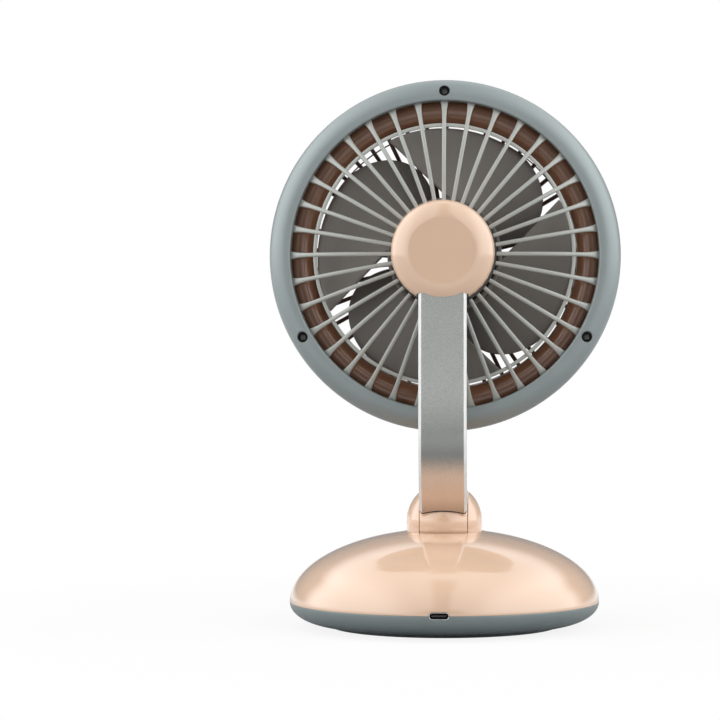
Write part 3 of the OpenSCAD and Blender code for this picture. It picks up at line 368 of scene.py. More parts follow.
def finished(piece, paints, body, *stands_for, crease=32.0):
    """Smooth shading with the sharper edges kept, the paints' materials, the body that carries the
    piece, and the CAD nodes that it stands for."""
    mesh = piece.data
    mesh.shade_smooth()
    mesh.set_sharp_from_angle(angle=math.radians(crease))
    index = np.zeros(len(mesh.polygons), np.int32)
    mesh.polygons.foreach_get("material_index", index)
    mesh.materials.clear()
    for paint in paints:
        mesh.materials.append(MATERIALS[paint])
    mesh.polygons.foreach_set("material_index", np.minimum(index, len(paints) - 1))
    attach(piece, body)
    if stands_for:
        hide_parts(*stands_for)


def make(name, surface, paint, body, *stands_for, less=()):
    """A finished piece of one paint: a surface, less the closed surfaces that are cut from it."""
    piece = mesh_object(name, surface)
    if less:
        cut(piece, less)
    finished(piece, [paint], body, *stands_for)


# Shaders

class Sock:
    """A shader value. Sums and products of these add Math nodes; numbers alone stay in Python."""

    def __init__(self, shader, socket):
        self.shader, self.socket = shader, socket

    def __add__(self, other):
        return self.shader.math("ADD", self, other)

    def __mul__(self, other):
        return self.shader.math("MULTIPLY", self, other)

    def __rsub__(self, other):
        return self.shader.math("SUBTRACT", other, self)

    __radd__, __rmul__ = __add__, __mul__

    def larger(self, other):
        return self.shader.math("MAXIMUM", self, other)

    def smooth(self, low, high, first=0.0, last=1.0):
        """The first value below low, the last above high, and a smooth step between."""
        values = {"Value": self, "From Min": low, "From Max": high, "To Min": first, "To Max": last}
        return self.shader.node("ShaderNodeMapRange", values, interpolation_type="SMOOTHSTEP")

    def out(self, name):
        """Another output of the same node."""
        return Sock(self.shader, self.socket.node.outputs[name])


class Shader:
    """The nodes of a material or of the world."""

    def __init__(self, name, world=False):
        self.owner = (bpy.data.worlds if world else bpy.data.materials).new(name)
        self.owner.use_nodes = True
        self.tree = self.owner.node_tree
        self.tree.nodes.clear()
        self.place = self.node("ShaderNodeTexCoord").out("Generated" if world else "Object")

    def node(self, kind, values=None, **settings):
        """Adds a node with its settings, and with values or links for its inputs. Comes back as its
        first output."""
        node = self.tree.nodes.new(kind)
        for key, setting in settings.items():
            setattr(node, key, setting)
        for key, value in (values or {}).items():
            if isinstance(value, Sock):
                self.tree.links.new(value.socket, node.inputs[key])
            else:
                node.inputs[key].default_value = value
        return Sock(self, node.outputs[0]) if node.outputs else None

    def math(self, operation, *values):
        return self.node("ShaderNodeMath", dict(enumerate(values)), operation=operation)

    def noise(self, scale, detail=3.0, roughness=0.5, stretch=None):
        """Noise from 0 to 1 with features of about 1/scale metres, drawn out along the axes by stretch."""
        where = self.place
        if stretch:
            where = self.node("ShaderNodeMapping", {"Vector": where, "Scale": stretch})
        values = {"Vector": where, "Scale": scale, "Detail": detail, "Roughness": roughness}
        return self.node("ShaderNodeTexNoise", values)

    def cells(self, scale):
        """A random number from 0 to 1 in each cell of about 1/scale metres."""
        colour = self.node("ShaderNodeTexVoronoi", {"Vector": self.place, "Scale": scale}).out("Color")
        return self.node("ShaderNodeSeparateColor", {"Color": colour})

    def blend(self, share, first, second):
        """A number between two, by a share from 0 to 1."""
        return self.node("ShaderNodeMix", {0: share, 2: first, 3: second})

    def mixed(self, share, first, second):
        """A colour between two, by a share from 0 to 1."""
        return self.node("ShaderNodeMix", {0: share, 6: first, 7: second}, data_type="RGBA").out(2)

    def bumped(self, height, distance, strength=1.0):
        """A normal from a height of 0 to 1, deep by a distance in metres."""
        return self.node("ShaderNodeBump", {"Height": height, "Distance": distance, "Strength": strength})

    def finish(self, **values):
        """The Principled surface, with each value given by its socket's name in small letters."""
        named = {key.replace("_", " ").title().replace("Ior", "IOR"): v for key, v in values.items()}
        self.node("ShaderNodeOutputMaterial", {"Surface": self.node("ShaderNodeBsdfPrincipled", named)})
        return self.owner


def shaded(colour, factor):
    """A colour made lighter or darker."""
    return tuple(min(1.0, c * factor) for c in colour) + (1.0,)


def glossy_shell(name, colour, roughness=0.16, coat=1.0):
    """Lacquered moulding: a colour that drifts by a few hundredths over a palm's width, a faint
    orange-peel skin, and a clear coat."""
    s = Shader(name)
    drift = s.noise(22, 2.0)
    base = s.mixed(drift.smooth(0.3, 0.7), shaded(colour, 0.975), shaded(colour, 1.015))
    peel = s.noise(420, 2.0, 0.4)
    wiped = s.noise(60, 3.0, 0.6, (1.0, 1.0, 0.35))
    return s.finish(
        base_color=base, roughness=roughness + 0.05 * wiped, ior=1.55, coat_weight=coat,
        coat_roughness=0.04, normal=s.bumped(peel, 0.000006),
    )


def satin_shell(name, colour, roughness=0.42, grain=0.00001, metal=0.0):
    """Satin moulding: a fine spark-eroded grain of a third of a millimetre, with a slow colour drift."""
    s = Shader(name)
    drift = s.noise(30, 3.0)
    fine = s.noise(3000, 2.0, 0.6)
    base = s.mixed(drift.smooth(0.3, 0.7), shaded(colour, 0.96), shaded(colour, 1.03))
    base = s.mixed(fine.smooth(0.35, 0.75) * 0.35, base, shaded(colour, 1.08))
    return s.finish(
        base_color=base, metallic=metal, roughness=roughness + 0.10 * fine, ior=1.47,
        normal=s.bumped(fine + 0.4 * s.noise(900, 2.0), grain),
    )


def silver_paint_with_painted_light(name, colour, dome_reflection_colour):
    """Silver paint: flakes of a fifth and a tenth of a millimetre that each catch the light
    differently, under a thin clear coat. Over the arm's bend painted shade darkens it by a smooth
    step of the height, then a painted reflection of the peach dome takes over, less metallic, and
    painted shade darkens it again next to the ball."""
    s = Shader(name)
    flakes = 0.6 * s.cells(4200) + 0.4 * s.cells(8500)
    cloud = s.noise(160, 3.0)
    base = s.mixed(flakes.smooth(0.15, 0.9), shaded(colour, 0.87), shaded(colour, 1.11))
    base = s.mixed(cloud.smooth(0.35, 0.7) * 0.25, base, shaded(colour, 0.92))
    height = s.node("ShaderNodeSeparateXYZ", {0: s.place}).out("Z")
    # Painted shade: the paint darkens over the bend by a smooth step of the height
    base = s.mixed(0.92 - 0.92 * height.smooth(*PAINTED_SHADE_BAND), base, shaded(colour, 0.36))
    # Painted reflection of the peach dome on the lower bend (foot), darker again by painted shade next to
    # the ball; low is its share, which also takes metal away
    foot = s.mixed(height.smooth(*PAINTED_SHADE_NEAR_BALL), shaded(dome_reflection_colour, 0.6), shaded(dome_reflection_colour, 1.0))
    low = 1.0 - height.smooth(*PAINTED_REFLECTION_BAND)
    base = s.mixed(0.95 * low, base, foot)
    return s.finish(
        base_color=base, metallic=0.9 - 0.7 * low, roughness=0.26 + 0.08 * flakes, coat_weight=0.25,
        coat_roughness=0.08, normal=s.bumped(flakes, 0.000008, 0.35),
    )


def worked_metal(name, colour, roughness=0.3, stretch=(1.0, 1.0, 0.04), scale=2600, metal=1.0):
    """Metal, bare or under a pale lacquer, with fine lines along one direction."""
    s = Shader(name)
    lines = s.noise(scale, 3.0, 0.6, stretch)
    base = s.mixed(lines.smooth(0.25, 0.75), shaded(colour, 0.86), shaded(colour, 1.1))
    return s.finish(
        base_color=base, metallic=metal, roughness=roughness + 0.14 * lines,
        normal=s.bumped(lines, 0.000008),
    )


def matte_black(name, colour, roughness=0.55, grain=0.00002):
    """Dark plastic or rubber: a coarse moulded grain and a little dust in it."""
    s = Shader(name)
    fine = s.noise(2200, 3.0, 0.6)
    dust = s.noise(240, 4.0, 0.7)
    base = s.mixed(dust.smooth(0.5, 0.8) * 0.3, shaded(colour, 1.0), shaded(colour, 1.7))
    return s.finish(base_color=base, roughness=roughness + 0.15 * fine, normal=s.bumped(fine, grain))


def circuit_board(name, colour):
    """Green lacquer over copper tracks, which are the edges of square cells."""
    s = Shader(name)
    cell = s.node("ShaderNodeTexVoronoi", {"Vector": s.place, "Scale": 420}, distance="CHEBYCHEV")
    track = cell.smooth(0.42, 0.5)
    base = s.mixed(track, shaded(colour, 1.0), shaded(colour, 1.9))
    return s.finish(base_color=base, roughness=0.32 + 0.1 * track, coat_weight=0.4)


def wound_copper(name, colour):
    """Enamelled wire: turns a third of a millimetre apart round the tooth, with painted shade in the grooves
    between them.
    """
    s = Shader(name)
    settings = {"wave_type": "BANDS", "bands_direction": "Y", "wave_profile": "SIN"}
    turns = s.node("ShaderNodeTexWave", {"Vector": s.place, "Scale": 480}, **settings).out("Fac")
    # Painted shade: darker in the grooves between turns
    base = s.mixed(turns, shaded(colour, 0.55), shaded(colour, 1.1))
    bump = s.bumped(turns, 0.0001)
    return s.finish(base_color=base, metallic=0.9, roughness=0.3 + 0.1 * turns, normal=bump)


MATERIALS = {
    "peach": glossy_shell("peach_lacquer", (0.80, 0.555, 0.395)),
    "duct": glossy_shell("duct_brown", (0.222, 0.101, 0.054), 0.22, 0.35),
    # Painted shade: the front guard is the duct's brown made darker, for its rear side that stands in shade
    "guard": glossy_shell("guard_brown_painted_shade", (0.12, 0.066, 0.044), 0.32, 0.2),
    "grille": satin_shell("grille_satin", (0.265, 0.303, 0.308), 0.38, metal=0.4),
    # Painted light: the spokes are the ring's moulding, and their lighter, warmer satin stands in for light
    # bounced off the peach shells
    "spoke": satin_shell("spoke_satin_painted_bounce_light", (0.40, 0.413, 0.388), 0.4, metal=0.3),
    "lower": satin_shell("lower_satin", (0.235, 0.278, 0.283), 0.33, metal=0.35),
    # The arm's second colour is the dome's peach, painted on its lower bend as a reflection
    "arm": silver_paint_with_painted_light("arm_silver", (0.53, 0.547, 0.53), (0.76, 0.55, 0.41)),
    "edge": worked_metal("arm_bright_edge", (0.70, 0.71, 0.70), 0.3, metal=0.25),
    "blade": satin_shell("blade_satin", (0.207, 0.192, 0.175), 0.4),
    "foot": satin_shell("foot_grey", (0.16, 0.19, 0.20), 0.5),
    "steel": worked_metal("turned_steel", (0.60, 0.60, 0.61)),
    "screw": worked_metal("black_screw", (0.10, 0.10, 0.10), 0.35, (1.0, 0.04, 1.0)),
    "dark": matte_black("dark_plastic", (0.035, 0.035, 0.036)),
    "pad": matte_black("friction_pad", (0.025, 0.023, 0.02), 0.8),
    "cell": satin_shell("cell_wrap", (0.05, 0.16, 0.38), 0.3),
    "board": circuit_board("board_green", (0.03, 0.14, 0.06)),
    "copper": wound_copper("winding_copper", (0.75, 0.36, 0.16)),
    "magnet": matte_black("magnet_black", (0.06, 0.058, 0.055), 0.5),
    "lens": glossy_shell("lens_clear", (0.85, 0.85, 0.82), 0.08),
    "port": worked_metal("port_steel", (0.72, 0.71, 0.70), 0.25, (1.0, 0.05, 1.0)),
    "frame_screw": worked_metal("frame_screw_grey", (0.13, 0.13, 0.127), 0.4, (1.0, 0.04, 1.0)),
}


# Camera, floor and lamps

def make_camera():
    """Level camera behind the fan, turned so that its middle line passes over the base's axis."""
    data = bpy.data.cameras.new("camera")
    data.lens = LENS
    data.sensor_width = 36
    data.shift_x, data.shift_y = FRAME_SHIFT
    camera = bpy.data.objects.new("camera", data)
    camera.location = CAMERA_PLACE
    away = Vector((-CAMERA_PLACE[0], -CAMERA_PLACE[1], 0))
    camera.rotation_euler = away.to_track_quat("-Z", "Y").to_euler()
    bpy.context.scene.collection.objects.link(camera)
    bpy.context.scene.camera = camera


def softbox(name, place, target, size, level):
    """Soft square lamp that faces a target, for the light alone: mirrors see the world's tent instead.
    Its level is what a white card facing it would mirror."""
    data = bpy.data.lights.new(name, "AREA")
    data.shape = "RECTANGLE"
    data.size, data.size_y = size
    data.energy = level * math.pi * size[0] * size[1]
    lamp = bpy.data.objects.new(name, data)
    lamp.location = place
    lamp.rotation_euler = (Vector(target) - Vector(place)).to_track_quat("-Z", "Y").to_euler()
    lamp.visible_glossy = False
    bpy.context.scene.collection.objects.link(lamp)


def make_world():
    """White where the camera looks. Mirrors see a white tent overhead, brighter at both sides, open at
    the camera and in a narrow strip over it, and beyond the fan a white horizon with a dim wall over
    it. An even dim fill for the rest."""
    s = Shader("studio", world=True)
    bpy.context.scene.world = s.owner
    apart = s.node("ShaderNodeSeparateXYZ", {0: s.place})
    x, y, z = (apart.out(axis) for axis in "XYZ")
    aside = s.math("ABSOLUTE", x)
    tent = aside.smooth(0.3, 0.7, TENT_LEVEL, TENT_SIDE_LEVEL)
    strip = s.blend(aside.smooth(0.05, 0.14), SKY_LEVEL, tent)
    strip = s.blend(y.smooth(-0.1, 0.15), tent, strip)
    behind_camera = s.blend(y.smooth(0.93, 0.985), strip, SKY_LEVEL)
    wall = z.smooth(0.0, 0.1, HORIZON_LEVEL, BACK_LEVEL)
    overhead = s.blend(z.smooth(0.45, 0.65), wall, tent)
    mirror = s.blend(y.smooth(-0.65, -0.3), overhead, behind_camera)
    path = s.node("ShaderNodeLightPath")
    mirrored = path.out("Is Glossy Ray").larger(path.out("Is Transmission Ray"))
    level = s.blend(path.out("Is Camera Ray"), s.blend(mirrored, FILL_LEVEL, mirror), 1.0)
    background = s.node("ShaderNodeBackground", {"Color": (1, 1, 1, 1), "Strength": level})
    s.node("ShaderNodeOutputWorld", {"Surface": background})


def make_floor():
    """Wide pale floor: plain white to the camera, but for an eighth that keeps the fan's shadow near
    it and fades out over 40 centimetres. Mirrors see the same white further away. Close to the fan they
    see the grey card that the floor is to the light."""
    bpy.ops.mesh.primitive_plane_add(size=12)
    floor = bpy.context.object
    floor.name = "floor"
    s = Shader("floor_white")
    path = s.node("ShaderNodeLightPath")
    camera = path.out("Is Camera Ray")
    grain = s.noise(40, 3.0)
    pale = s.mixed(grain, (0.86, 0.86, 0.86, 1), (0.9, 0.9, 0.9, 1))
    levels = (shaded((1, 1, 1), level) for level in (CARD_LEVEL, CARD_MIRROR_LEVEL))
    card = s.mixed(camera, s.mixed(path.out("Is Glossy Ray"), *levels), pale)
    away = s.node("ShaderNodeVectorMath", {0: s.place}, operation="LENGTH").out("Value")
    seen = camera * (0.87 + 0.13 * away.smooth(*FLOOR_SEEN))
    mirrored = path.out("Is Glossy Ray").larger(path.out("Is Transmission Ray"))
    white = seen.larger(mirrored * away.smooth(*FLOOR_MIRRORED))
    lit = s.node("ShaderNodeBsdfDiffuse", {"Color": card})
    glow = s.node("ShaderNodeEmission", {"Strength": 1.0})
    surface = s.node("ShaderNodeMixShader", {0: white, 1: lit, 2: glow})
    s.node("ShaderNodeOutputMaterial", {"Surface": surface})
    floor.data.materials.append(s.owner)


# Base

def stadium(growth, steps=14):
    """Outline of the port's slot, grown outwards: two half circles joined by straight lines."""
    half, radius = (PORT_W - PORT_H) / 2, PORT_H / 2 + growth
    right = arc((half, 0), (radius, radius), -90, 90, steps)
    return np.concatenate([right, arc((-half, 0), (radius, radius), 90, 270, steps)])


def along_rear(sections, places):
    """Closed bar whose outlines (x, height over the seam) stand at places along +Y."""
    return swept(np.stack(sections), at(0.0, places, SEAM_Z))


def port_space():
    """The slot that the port takes out of both shells, with a small bevel at its mouth."""
    growths = (0.06, 0.06, 0.34, 0.34)
    return along_rear([stadium(g) for g in growths], (60.0, 71.5, 71.95, 76.0))


def base_dome():
    """Outline (radius, height): the outer ellipse from the seam up to the opening, a rounded lip, the
    opening's wall, and the inner ellipse back to the seam."""
    lip, soft = 0.6, 0.2
    edge_r = OPENING_R + lip
    end = math.degrees(math.acos(edge_r / BASE_R))
    outer = arc((0, SEAM_Z), (BASE_R, DOME_H), 0.6, end, 120)
    lip_arc = arc((edge_r, outer[-1, 1] - lip), (lip, lip), 90, 180, 6)[1:]
    collar_r = OPENING_R + 2.6
    inner_end = math.degrees(math.acos(collar_r / (BASE_R - BASE_WALL)))
    inner = arc((0, SEAM_Z), (BASE_R - BASE_WALL, DOME_H - BASE_WALL), inner_end, 0, 50)
    corner = arc((BASE_R - soft, SEAM_Z + soft), (soft, soft), -90, -20, 4)
    collar = np.array([[OPENING_R, COLLAR_Z], [collar_r, COLLAR_Z]])
    dome = lathe(np.concatenate([outer, lip_arc, collar, inner, corner]), 288)
    well_r = BUTTON_R + BUTTON_GAP
    wide_r = well_r + 0.6
    well = lathe([(0, -7), (well_r, -7), (well_r, -0.35), (wide_r, 0.45), (wide_r, 3), (0, 3)], 96)
    less = port_space(), on_dome(well, BUTTON_AT_R)
    make("base_dome", dome, "peach", "base", "base_top_shell", less=less)


def base_bowl():
    """Outline: the flat underside, a quarter ellipse out to the seam, and the same one wall further in."""
    soft = 0.2
    under = arc((FOOT_R, SEAM_Z), (BASE_R - FOOT_R, SEAM_Z - FOOT_H), -90, -1.2, 60)
    corner = arc((BASE_R - soft, SEAM_Z - soft), (soft, soft), 20, 90, 4)
    wall_r = BASE_R - BASE_WALL
    inner = arc((FOOT_R, SEAM_Z), (wall_r - FOOT_R, SEAM_Z - FOOT_H - BASE_WALL), 0, -90, 24)
    ends = np.array([[0, FOOT_H + BASE_WALL], [0, FOOT_H]])
    bowl = lathe(np.concatenate([under, corner, inner, ends]), 288)
    make("base_bowl", bowl, "lower", "base", "base_bottom_shell", less=[port_space()])


def foot_disc():
    """Foot with a softened lower edge and a shallow groove under it that leaves a tread ring."""
    outline = rounded([
        (0.01, FOOT_H, 0), (FOOT_R - 0.1, FOOT_H, 0.1), (FOOT_R - 0.1, 0, 0.35), (FOOT_R - 7, 0, 0.2),
        (FOOT_R - 7, 0.6, 0.2), (0.01, 0.6, 0),
    ])
    make("foot_disc", lathe(outline, 192), "foot", "base", "foot_pad")


def charging_port():
    """Steel sleeve: a rounded rectangle (outwards, along +Y) carried round the slot's outline. In it a
    black seat and a tongue with a row of contacts on each face."""
    slot = stadium(0.0)
    half = (PORT_W - PORT_H) / 2
    outward_to = unit(slot - at(np.clip(slot[:, 0], -half, half), 0))
    rear = PORT_Y - PORT_DEPTH
    wall = rounded([(0, rear, 0.1), (0, PORT_Y, 0.16), (-0.35, PORT_Y, 0.16), (-0.35, rear, 0.1)], 3)
    ring = slot[:, None] + outward_to[:, None] * wall[:, :1]
    points = at(ring[..., 0], wall[:, 1], ring[..., 1] + SEAM_Z).reshape(-1, 3)
    sleeve = outward(points, grid_quads(len(slot), len(wall), True, True))
    make("port_sleeve", sleeve, "port", "base", "usb_port")
    seat = along_rear([stadium(-0.33)] * 2, (rear, rear + 1.2))
    blade = superellipse(np.array([3.3, 3.3, 3.25, 3.0]), np.array([0.35, 0.35, 0.32, 0.2]), 5, 24)
    tongue = along_rear(blade, (rear + 0.5, PORT_Y - 0.9, PORT_Y - 0.65, PORT_Y - 0.5))
    make("port_tongue", joined(seat, tongue), "dark", "base")
    pad = superellipse(0.13, 0.03, 6, 12)
    row = along_rear([pad, pad], (PORT_Y - 3.6, PORT_Y - 1.5))
    places = np.linspace(-2.75, 2.75, 12)
    pads = joined(*(moved(row, x=x, z=z) for x in places for z in (-0.35, 0.35)))
    make("port_contacts", pads, "copper", "base")


def power_button():
    """Button with a hollow of a large sphere in its top, and a ring and bar, the usual power sign."""
    hollow_r, sphere_r, low = 6.1, 40, -3.4
    hollow = np.linspace(0.01, hollow_r, 24)
    top = at(hollow, -0.2 + sphere_r - np.sqrt(sphere_r**2 - hollow**2))
    side = rounded([(BUTTON_R, BUTTON_PROUD, 0.45), (BUTTON_R, low, 0.1), (0.01, low, 0)], 6)[:-6]
    outline = np.concatenate([top, side[side[:, 0] > hollow_r], [[0.01, low]]])
    cap = on_dome(lathe(outline, 128), BUTTON_AT_R)
    make("button_cap", cap, "grille", "button", "power_button")
    line, a = superellipse(0.22, 0.07, 3, 10), np.radians(np.linspace(125, 415, 48))
    out = at(np.cos(a), np.sin(a), 0)
    ring = swept(line, 2.3 * out - (0, 0, 0.1), out)
    bar = swept(line, at(0, np.linspace(0.9, 3.0, 6), -0.08))
    make("button_sign", on_dome(joined(ring, bar), BUTTON_AT_R), "lens", "button")


def indicator_lights():
    """Four lenses, low domes that stand just proud of the shell."""
    dome = arc((0, -0.25), (LENS_R, 0.32), 90, 0, 8)
    outline = np.concatenate([np.maximum(dome, [0.005, -9]), [[LENS_R, -3.6], [0.005, -3.6]]])
    lenses = joined(*(on_dome(lathe(outline, 32), LENS_AT_R, a) for a in LENS_ANGLES))
    make("indicator_lights", lenses, "lens", "base", "indicator_lenses")


# Turret

def ball_outline(face, soft, outside):
    """Half outline (radius from the cross axis, x) of a ball cut by a plane: from the pole along the
    ball, round a soft edge that touches the ball and the plane, and in along the plane. Outside is the
    part beyond the plane, and its mirror below it is the slice between two planes."""
    sign = 1 if outside else -1
    x = face + sign * soft
    r = math.sqrt((BALL_R - soft) ** 2 - x**2)
    meet = math.degrees(math.atan2(r, x))
    edge = arc((x, r), (soft, soft), meet, 180 if outside else 0, 6)[:, ::-1]
    ball = arc((0, 0), (BALL_R, BALL_R), 0.2 if outside else 90, meet, 48)[:, ::-1]
    return np.concatenate([ball, edge[1:], [[0.001, face]]])


def turret_sides():
    """Each side of the ball: its outline is turned round the cross axis over the top, 14 degrees past
    half a turn, and carried straight down into the base on both faces."""
    outline = ball_outline(SLOT_HALF, 0.15, True)
    outline[0, 0] = 0.0
    r, x = outline[:, 0], outline[:, 1]
    past = 14
    turn = np.radians(np.linspace(-past, 180 + past, 113))[:, None]
    over = at(x, r * np.cos(turn), BALL_Z + r * np.sin(turn))
    drop = NECK_Z + np.linspace(0, 1, 9)[:-1, None] * (over[0, :, 2] - NECK_Z)
    grid = np.concatenate([at(x, over[0, :, 1], drop), over, at(x, over[-1, :, 1], drop[::-1])])
    right = outward(grid.reshape(-1, 3), grid_quads(*grid.shape[:2], True, False))
    left = outward(right[0] * np.array([-1, 1, 1]), right[1])
    make("turret_sides", joined(right, left), "peach", "turret", "turret_shell")


def turret_caps():
    """Covers of the hinge pin's ends: slices of a slightly larger ball with a soft edge."""
    ball = arc((0, 0), (BALL_R + 0.07, BALL_R + 0.07), 0.1, 13.6, 16)[:, ::-1]
    soft = arc((16.92, 4.1), (0.16, 0.1), 20, 90, 4)[:, ::-1]
    outline = np.concatenate([ball, soft, [[4.2, 15.5], [0.001, 15.5]]])
    cap = lathe(outline, 64)
    other = outward(cap[0] * np.array([1, 1, -1]), cap[1])
    caps = on_ball_axis(joined(cap, other))
    make("turret_caps", caps, "peach", "turret", "turret_side_caps")


def knuckle():
    """The slice of the ball that carries the arm, turned about the cross axis."""
    half = ball_outline(KNUCKLE_HALF, 0.15, False)
    outline = np.concatenate([half[::-1], half[1:] * np.array([1, -1])])
    make("arm_knuckle", on_ball_axis(lathe(outline, 192)), "peach", "arm", "lower_knuckle")


# Arm

def split(outline, longest=1.2):
    """The closed outline with points added, so that no side is longer."""
    rows = []
    for a, b in zip(outline, np.roll(outline, -1, 0)):
        count = max(1, math.ceil(np.linalg.norm(b - a) / longest))
        rows.append(a + (b - a) * np.arange(count)[:, None] / count)
    return np.concatenate(rows)


def arm_bar(outline, end_r, from_share=0.0):
    """Closed bar. Its outline (depth from the rear face, across) follows three stretches: an arc over
    the top hinge, straight down, and an arc forward about the bend's centre. Each line of the last
    ends where it meets a ball of radius end_r: with the line's arc radius p, the ball's distance D
    from the bend's centre and the end's curve c times the line's distance across squared, the cosine
    of the angle short of the ball's own is (p² + D² - end_r² + c a²) / (2 p D). With a share, only
    the rest of the bend from there on is made."""
    outline = split(outline)
    d, a = outline[:, 0], outline[:, 1]
    bend_y, ball_drop = ARM_Y - BEND_R, BEND_Z - BALL_Z
    p, far = BEND_R - d, math.hypot(bend_y, ball_drop)
    share = (p**2 + far**2 - end_r**2 + ARM_END_CURVE * a**2) / (2 * p * far)
    last = math.atan2(ball_drop, -bend_y) - np.arccos(np.clip(share, -1, 1))
    turn = np.linspace(from_share, 1, 49)[:, None] * last
    bend = at(a, bend_y + p * np.cos(turn), BEND_Z - p * np.sin(turn))
    if from_share:
        return capped(bend)
    z = np.linspace(HEAD_Z, BEND_Z, 25)[:-1, None]
    start, p = np.radians(np.linspace(TOP_ANGLE, 0, 15))[:-1, None], TOP_R - d
    top = at(a, ARM_Y - TOP_R + p * np.cos(start), HEAD_Z + p * np.sin(start))
    return capped(np.concatenate([top, at(a, ARM_Y - d, z), bend]))


def arm():
    """Flat arm with a bright chamfer along both rear edges, and a fine groove round its front cover."""
    seam, deep = 0.14, 0.5
    cover = ARM_HALF - ARM_WALL
    flat = ARM_HALF - ARM_CHAMFER
    half = [
        (0, flat, 0.12), (ARM_CHAMFER, ARM_HALF, 0.12), (ARM_T, ARM_HALF, 0.5), (ARM_T, cover + seam, 0.1),
        (ARM_T - deep, cover + seam, 0.05), (ARM_T - deep, cover - seam, 0.05), (ARM_T, cover - seam, 0.1),
    ]
    outline = rounded(half + [(d, -a, r) for d, a, r in reversed(half)], 4)
    piece = mesh_object("arm_bar", arm_bar(outline, BALL_R + ARM_END_GAP))
    mesh = piece.data
    centre, normal = (np.empty(len(mesh.polygons) * 3, np.float32) for _ in range(2))
    mesh.polygons.foreach_get("center", centre)
    mesh.polygons.foreach_get("normal", normal)
    centre, normal = centre.reshape(-1, 3) / MM, normal.reshape(-1, 3)
    bright = (np.abs(centre[:, 0]) > flat + 0.05) & (np.abs(np.abs(normal[:, 0]) - math.sqrt(0.5)) < 0.12)
    bright &= centre[:, 1] > ARM_Y - BEND_R
    radius = np.hypot(centre[:, 1] - (ARM_Y - BEND_R), np.minimum(centre[:, 2] - BEND_Z, 0))
    bright &= (radius > BEND_R - ARM_CHAMFER - 0.3) | (centre[:, 2] > HEAD_Z)
    mesh.polygons.foreach_set("material_index", bright.astype(np.int32))
    finished(piece, ["arm", "edge"], "arm", "arm_rear_shell", "arm_front_cover", crease=20)
    # Painted shadow: a dark band just in from the arm's end stands in for the shadow in the gap over the
    # knuckle; behind it a peach root carries on the knuckle
    for name, inset, end_r, paint in (
        ("arm_root_shadow_band", 0.1, BALL_R + 0.3, "dark"), ("arm_root", 0.6, BALL_R - 3.5, "peach"),
    ):
        root = rounded([
            (inset, inset - ARM_HALF, 1.9), (inset, ARM_HALF - inset, 1.9),
            (ARM_T - inset, ARM_HALF - inset, 1.2), (ARM_T - inset, inset - ARM_HALF, 1.2),
        ])
        make(name, arm_bar(root, end_r, 0.8), paint, "arm")


# Head

def spoke_y(r):
    """Rear face of a spoke: it falls from the hub to the ring with a power of the way out."""
    way = (r - SPOKE_IN_R) / (SPOKE_OUT_R - SPOKE_IN_R)
    return HUB_Y - (HUB_Y - SPOKE_RIM_Y) * np.abs(way) ** SPOKE_POWER


def screw_hole():
    """What a screw takes out of the ring: a straight hole, and a shallow cone square to the ring's
    round at the screw's middle, where the round leans outwards by the angle whose sine is the
    distance from the round's centre over its radius."""
    out = (SCREW_AT_R - RIM_AT_R) / RIM_R
    lean = math.asin(out)
    surface_y = CREST_Y - RIM_R + RIM_R * math.cos(lean)
    hole = lathe([(0.001, -6.5), (SCREW_HOLE_R, -6.5), (SCREW_HOLE_R, 3), (0.001, 3)], 48)
    wide = SCREW_HOLE_R + SCREW_BEVEL
    cone = lathe([
        (0.001, -SCREW_BEVEL - 0.1), (SCREW_HOLE_R, -SCREW_BEVEL), (wide, 0.12), (wide + 0.5, 2), (0.001, 2),
    ], 48)
    c, k = math.cos(lean), math.sin(lean)
    leaned = cone[0] @ np.array([[c, 0, -k], [0, 1, 0], [k, 0, c]])
    return moved(hole, x=SCREW_AT_R), moved((leaned, cone[1]), x=SCREW_AT_R, z=surface_y)


def rear_guard():
    """Ring, spokes, thin middle ring and hub. The ring's outline has a large outer round, a small
    inner one and a hollow, turned about the head's axis. A spoke is a rounded rectangle carried
    outwards, wider where it runs into the ring."""
    inner_r = RIM_AT_R - RIM_IN_R
    centre_y = CREST_Y - RIM_R
    wall = HEAD_R - HEAD_WALL
    crown = arc((RIM_AT_R, centre_y), (RIM_R, RIM_R), 0, 90, 40)
    soft = 1.0
    inner = arc((inner_r + soft, CREST_Y - soft), (soft, soft), 90, 180, 12)
    low = CREST_Y - RIM_IN_DEPTH
    hollow = arc((RIM_AT_R, centre_y), (RIM_R - HEAD_WALL, RIM_R - HEAD_WALL), 90, 0, 16)
    outline = np.concatenate([
        crown, inner, [[inner_r, low + 0.4], [inner_r + 0.12, low + 0.12], [inner_r + 0.4, low]],
        [[inner_r + HEAD_WALL, low], [inner_r + HEAD_WALL, centre_y + RIM_R - HEAD_WALL]], hollow,
        [[wall, PARTING_Y + 0.05], [HEAD_R - 0.3, PARTING_Y + 0.05], [HEAD_R, PARTING_Y + 0.35]],
    ])
    holes = [on_head_axis(turned(part, a)) for a in SCREW_ANGLES for part in screw_hole()]
    make("rear_ring", on_head_axis(lathe(outline, 360)), "grille", "head", "rear_grille", less=holes)

    r = np.concatenate([np.linspace(SPOKE_IN_R, 61, 22), np.linspace(62, SPOKE_OUT_R, 20)])
    flare = np.clip((r - (SPOKE_OUT_R - 12)) / 12, 0, 1)
    half = SPOKE_W / 2 * (1 + 1.45 * flare**2.6)
    spokes = radial_bars(r, spoke_y(r) - SPOKE_DEPTH / 2, half, SPOKE_DEPTH / 2, 20, SPOKE_COUNT)
    top, half_ring = float(spoke_y(np.array(MID_RING_R))) - 0.8, 0.85
    rounds = (0.12, 0.7, 0.3, 0.3)
    middle = disc(MID_RING_R - half_ring, MID_RING_R + half_ring, top, top - 1.8, rounds, 288)
    hub = disc(6, HUB_R, MOTOR_Y, HUB_Y, (0.3, 0.4, 0.5, 0.3), 96)
    make("rear_spokes", on_head_axis(joined(spokes, middle, hub)), "spoke", "head")


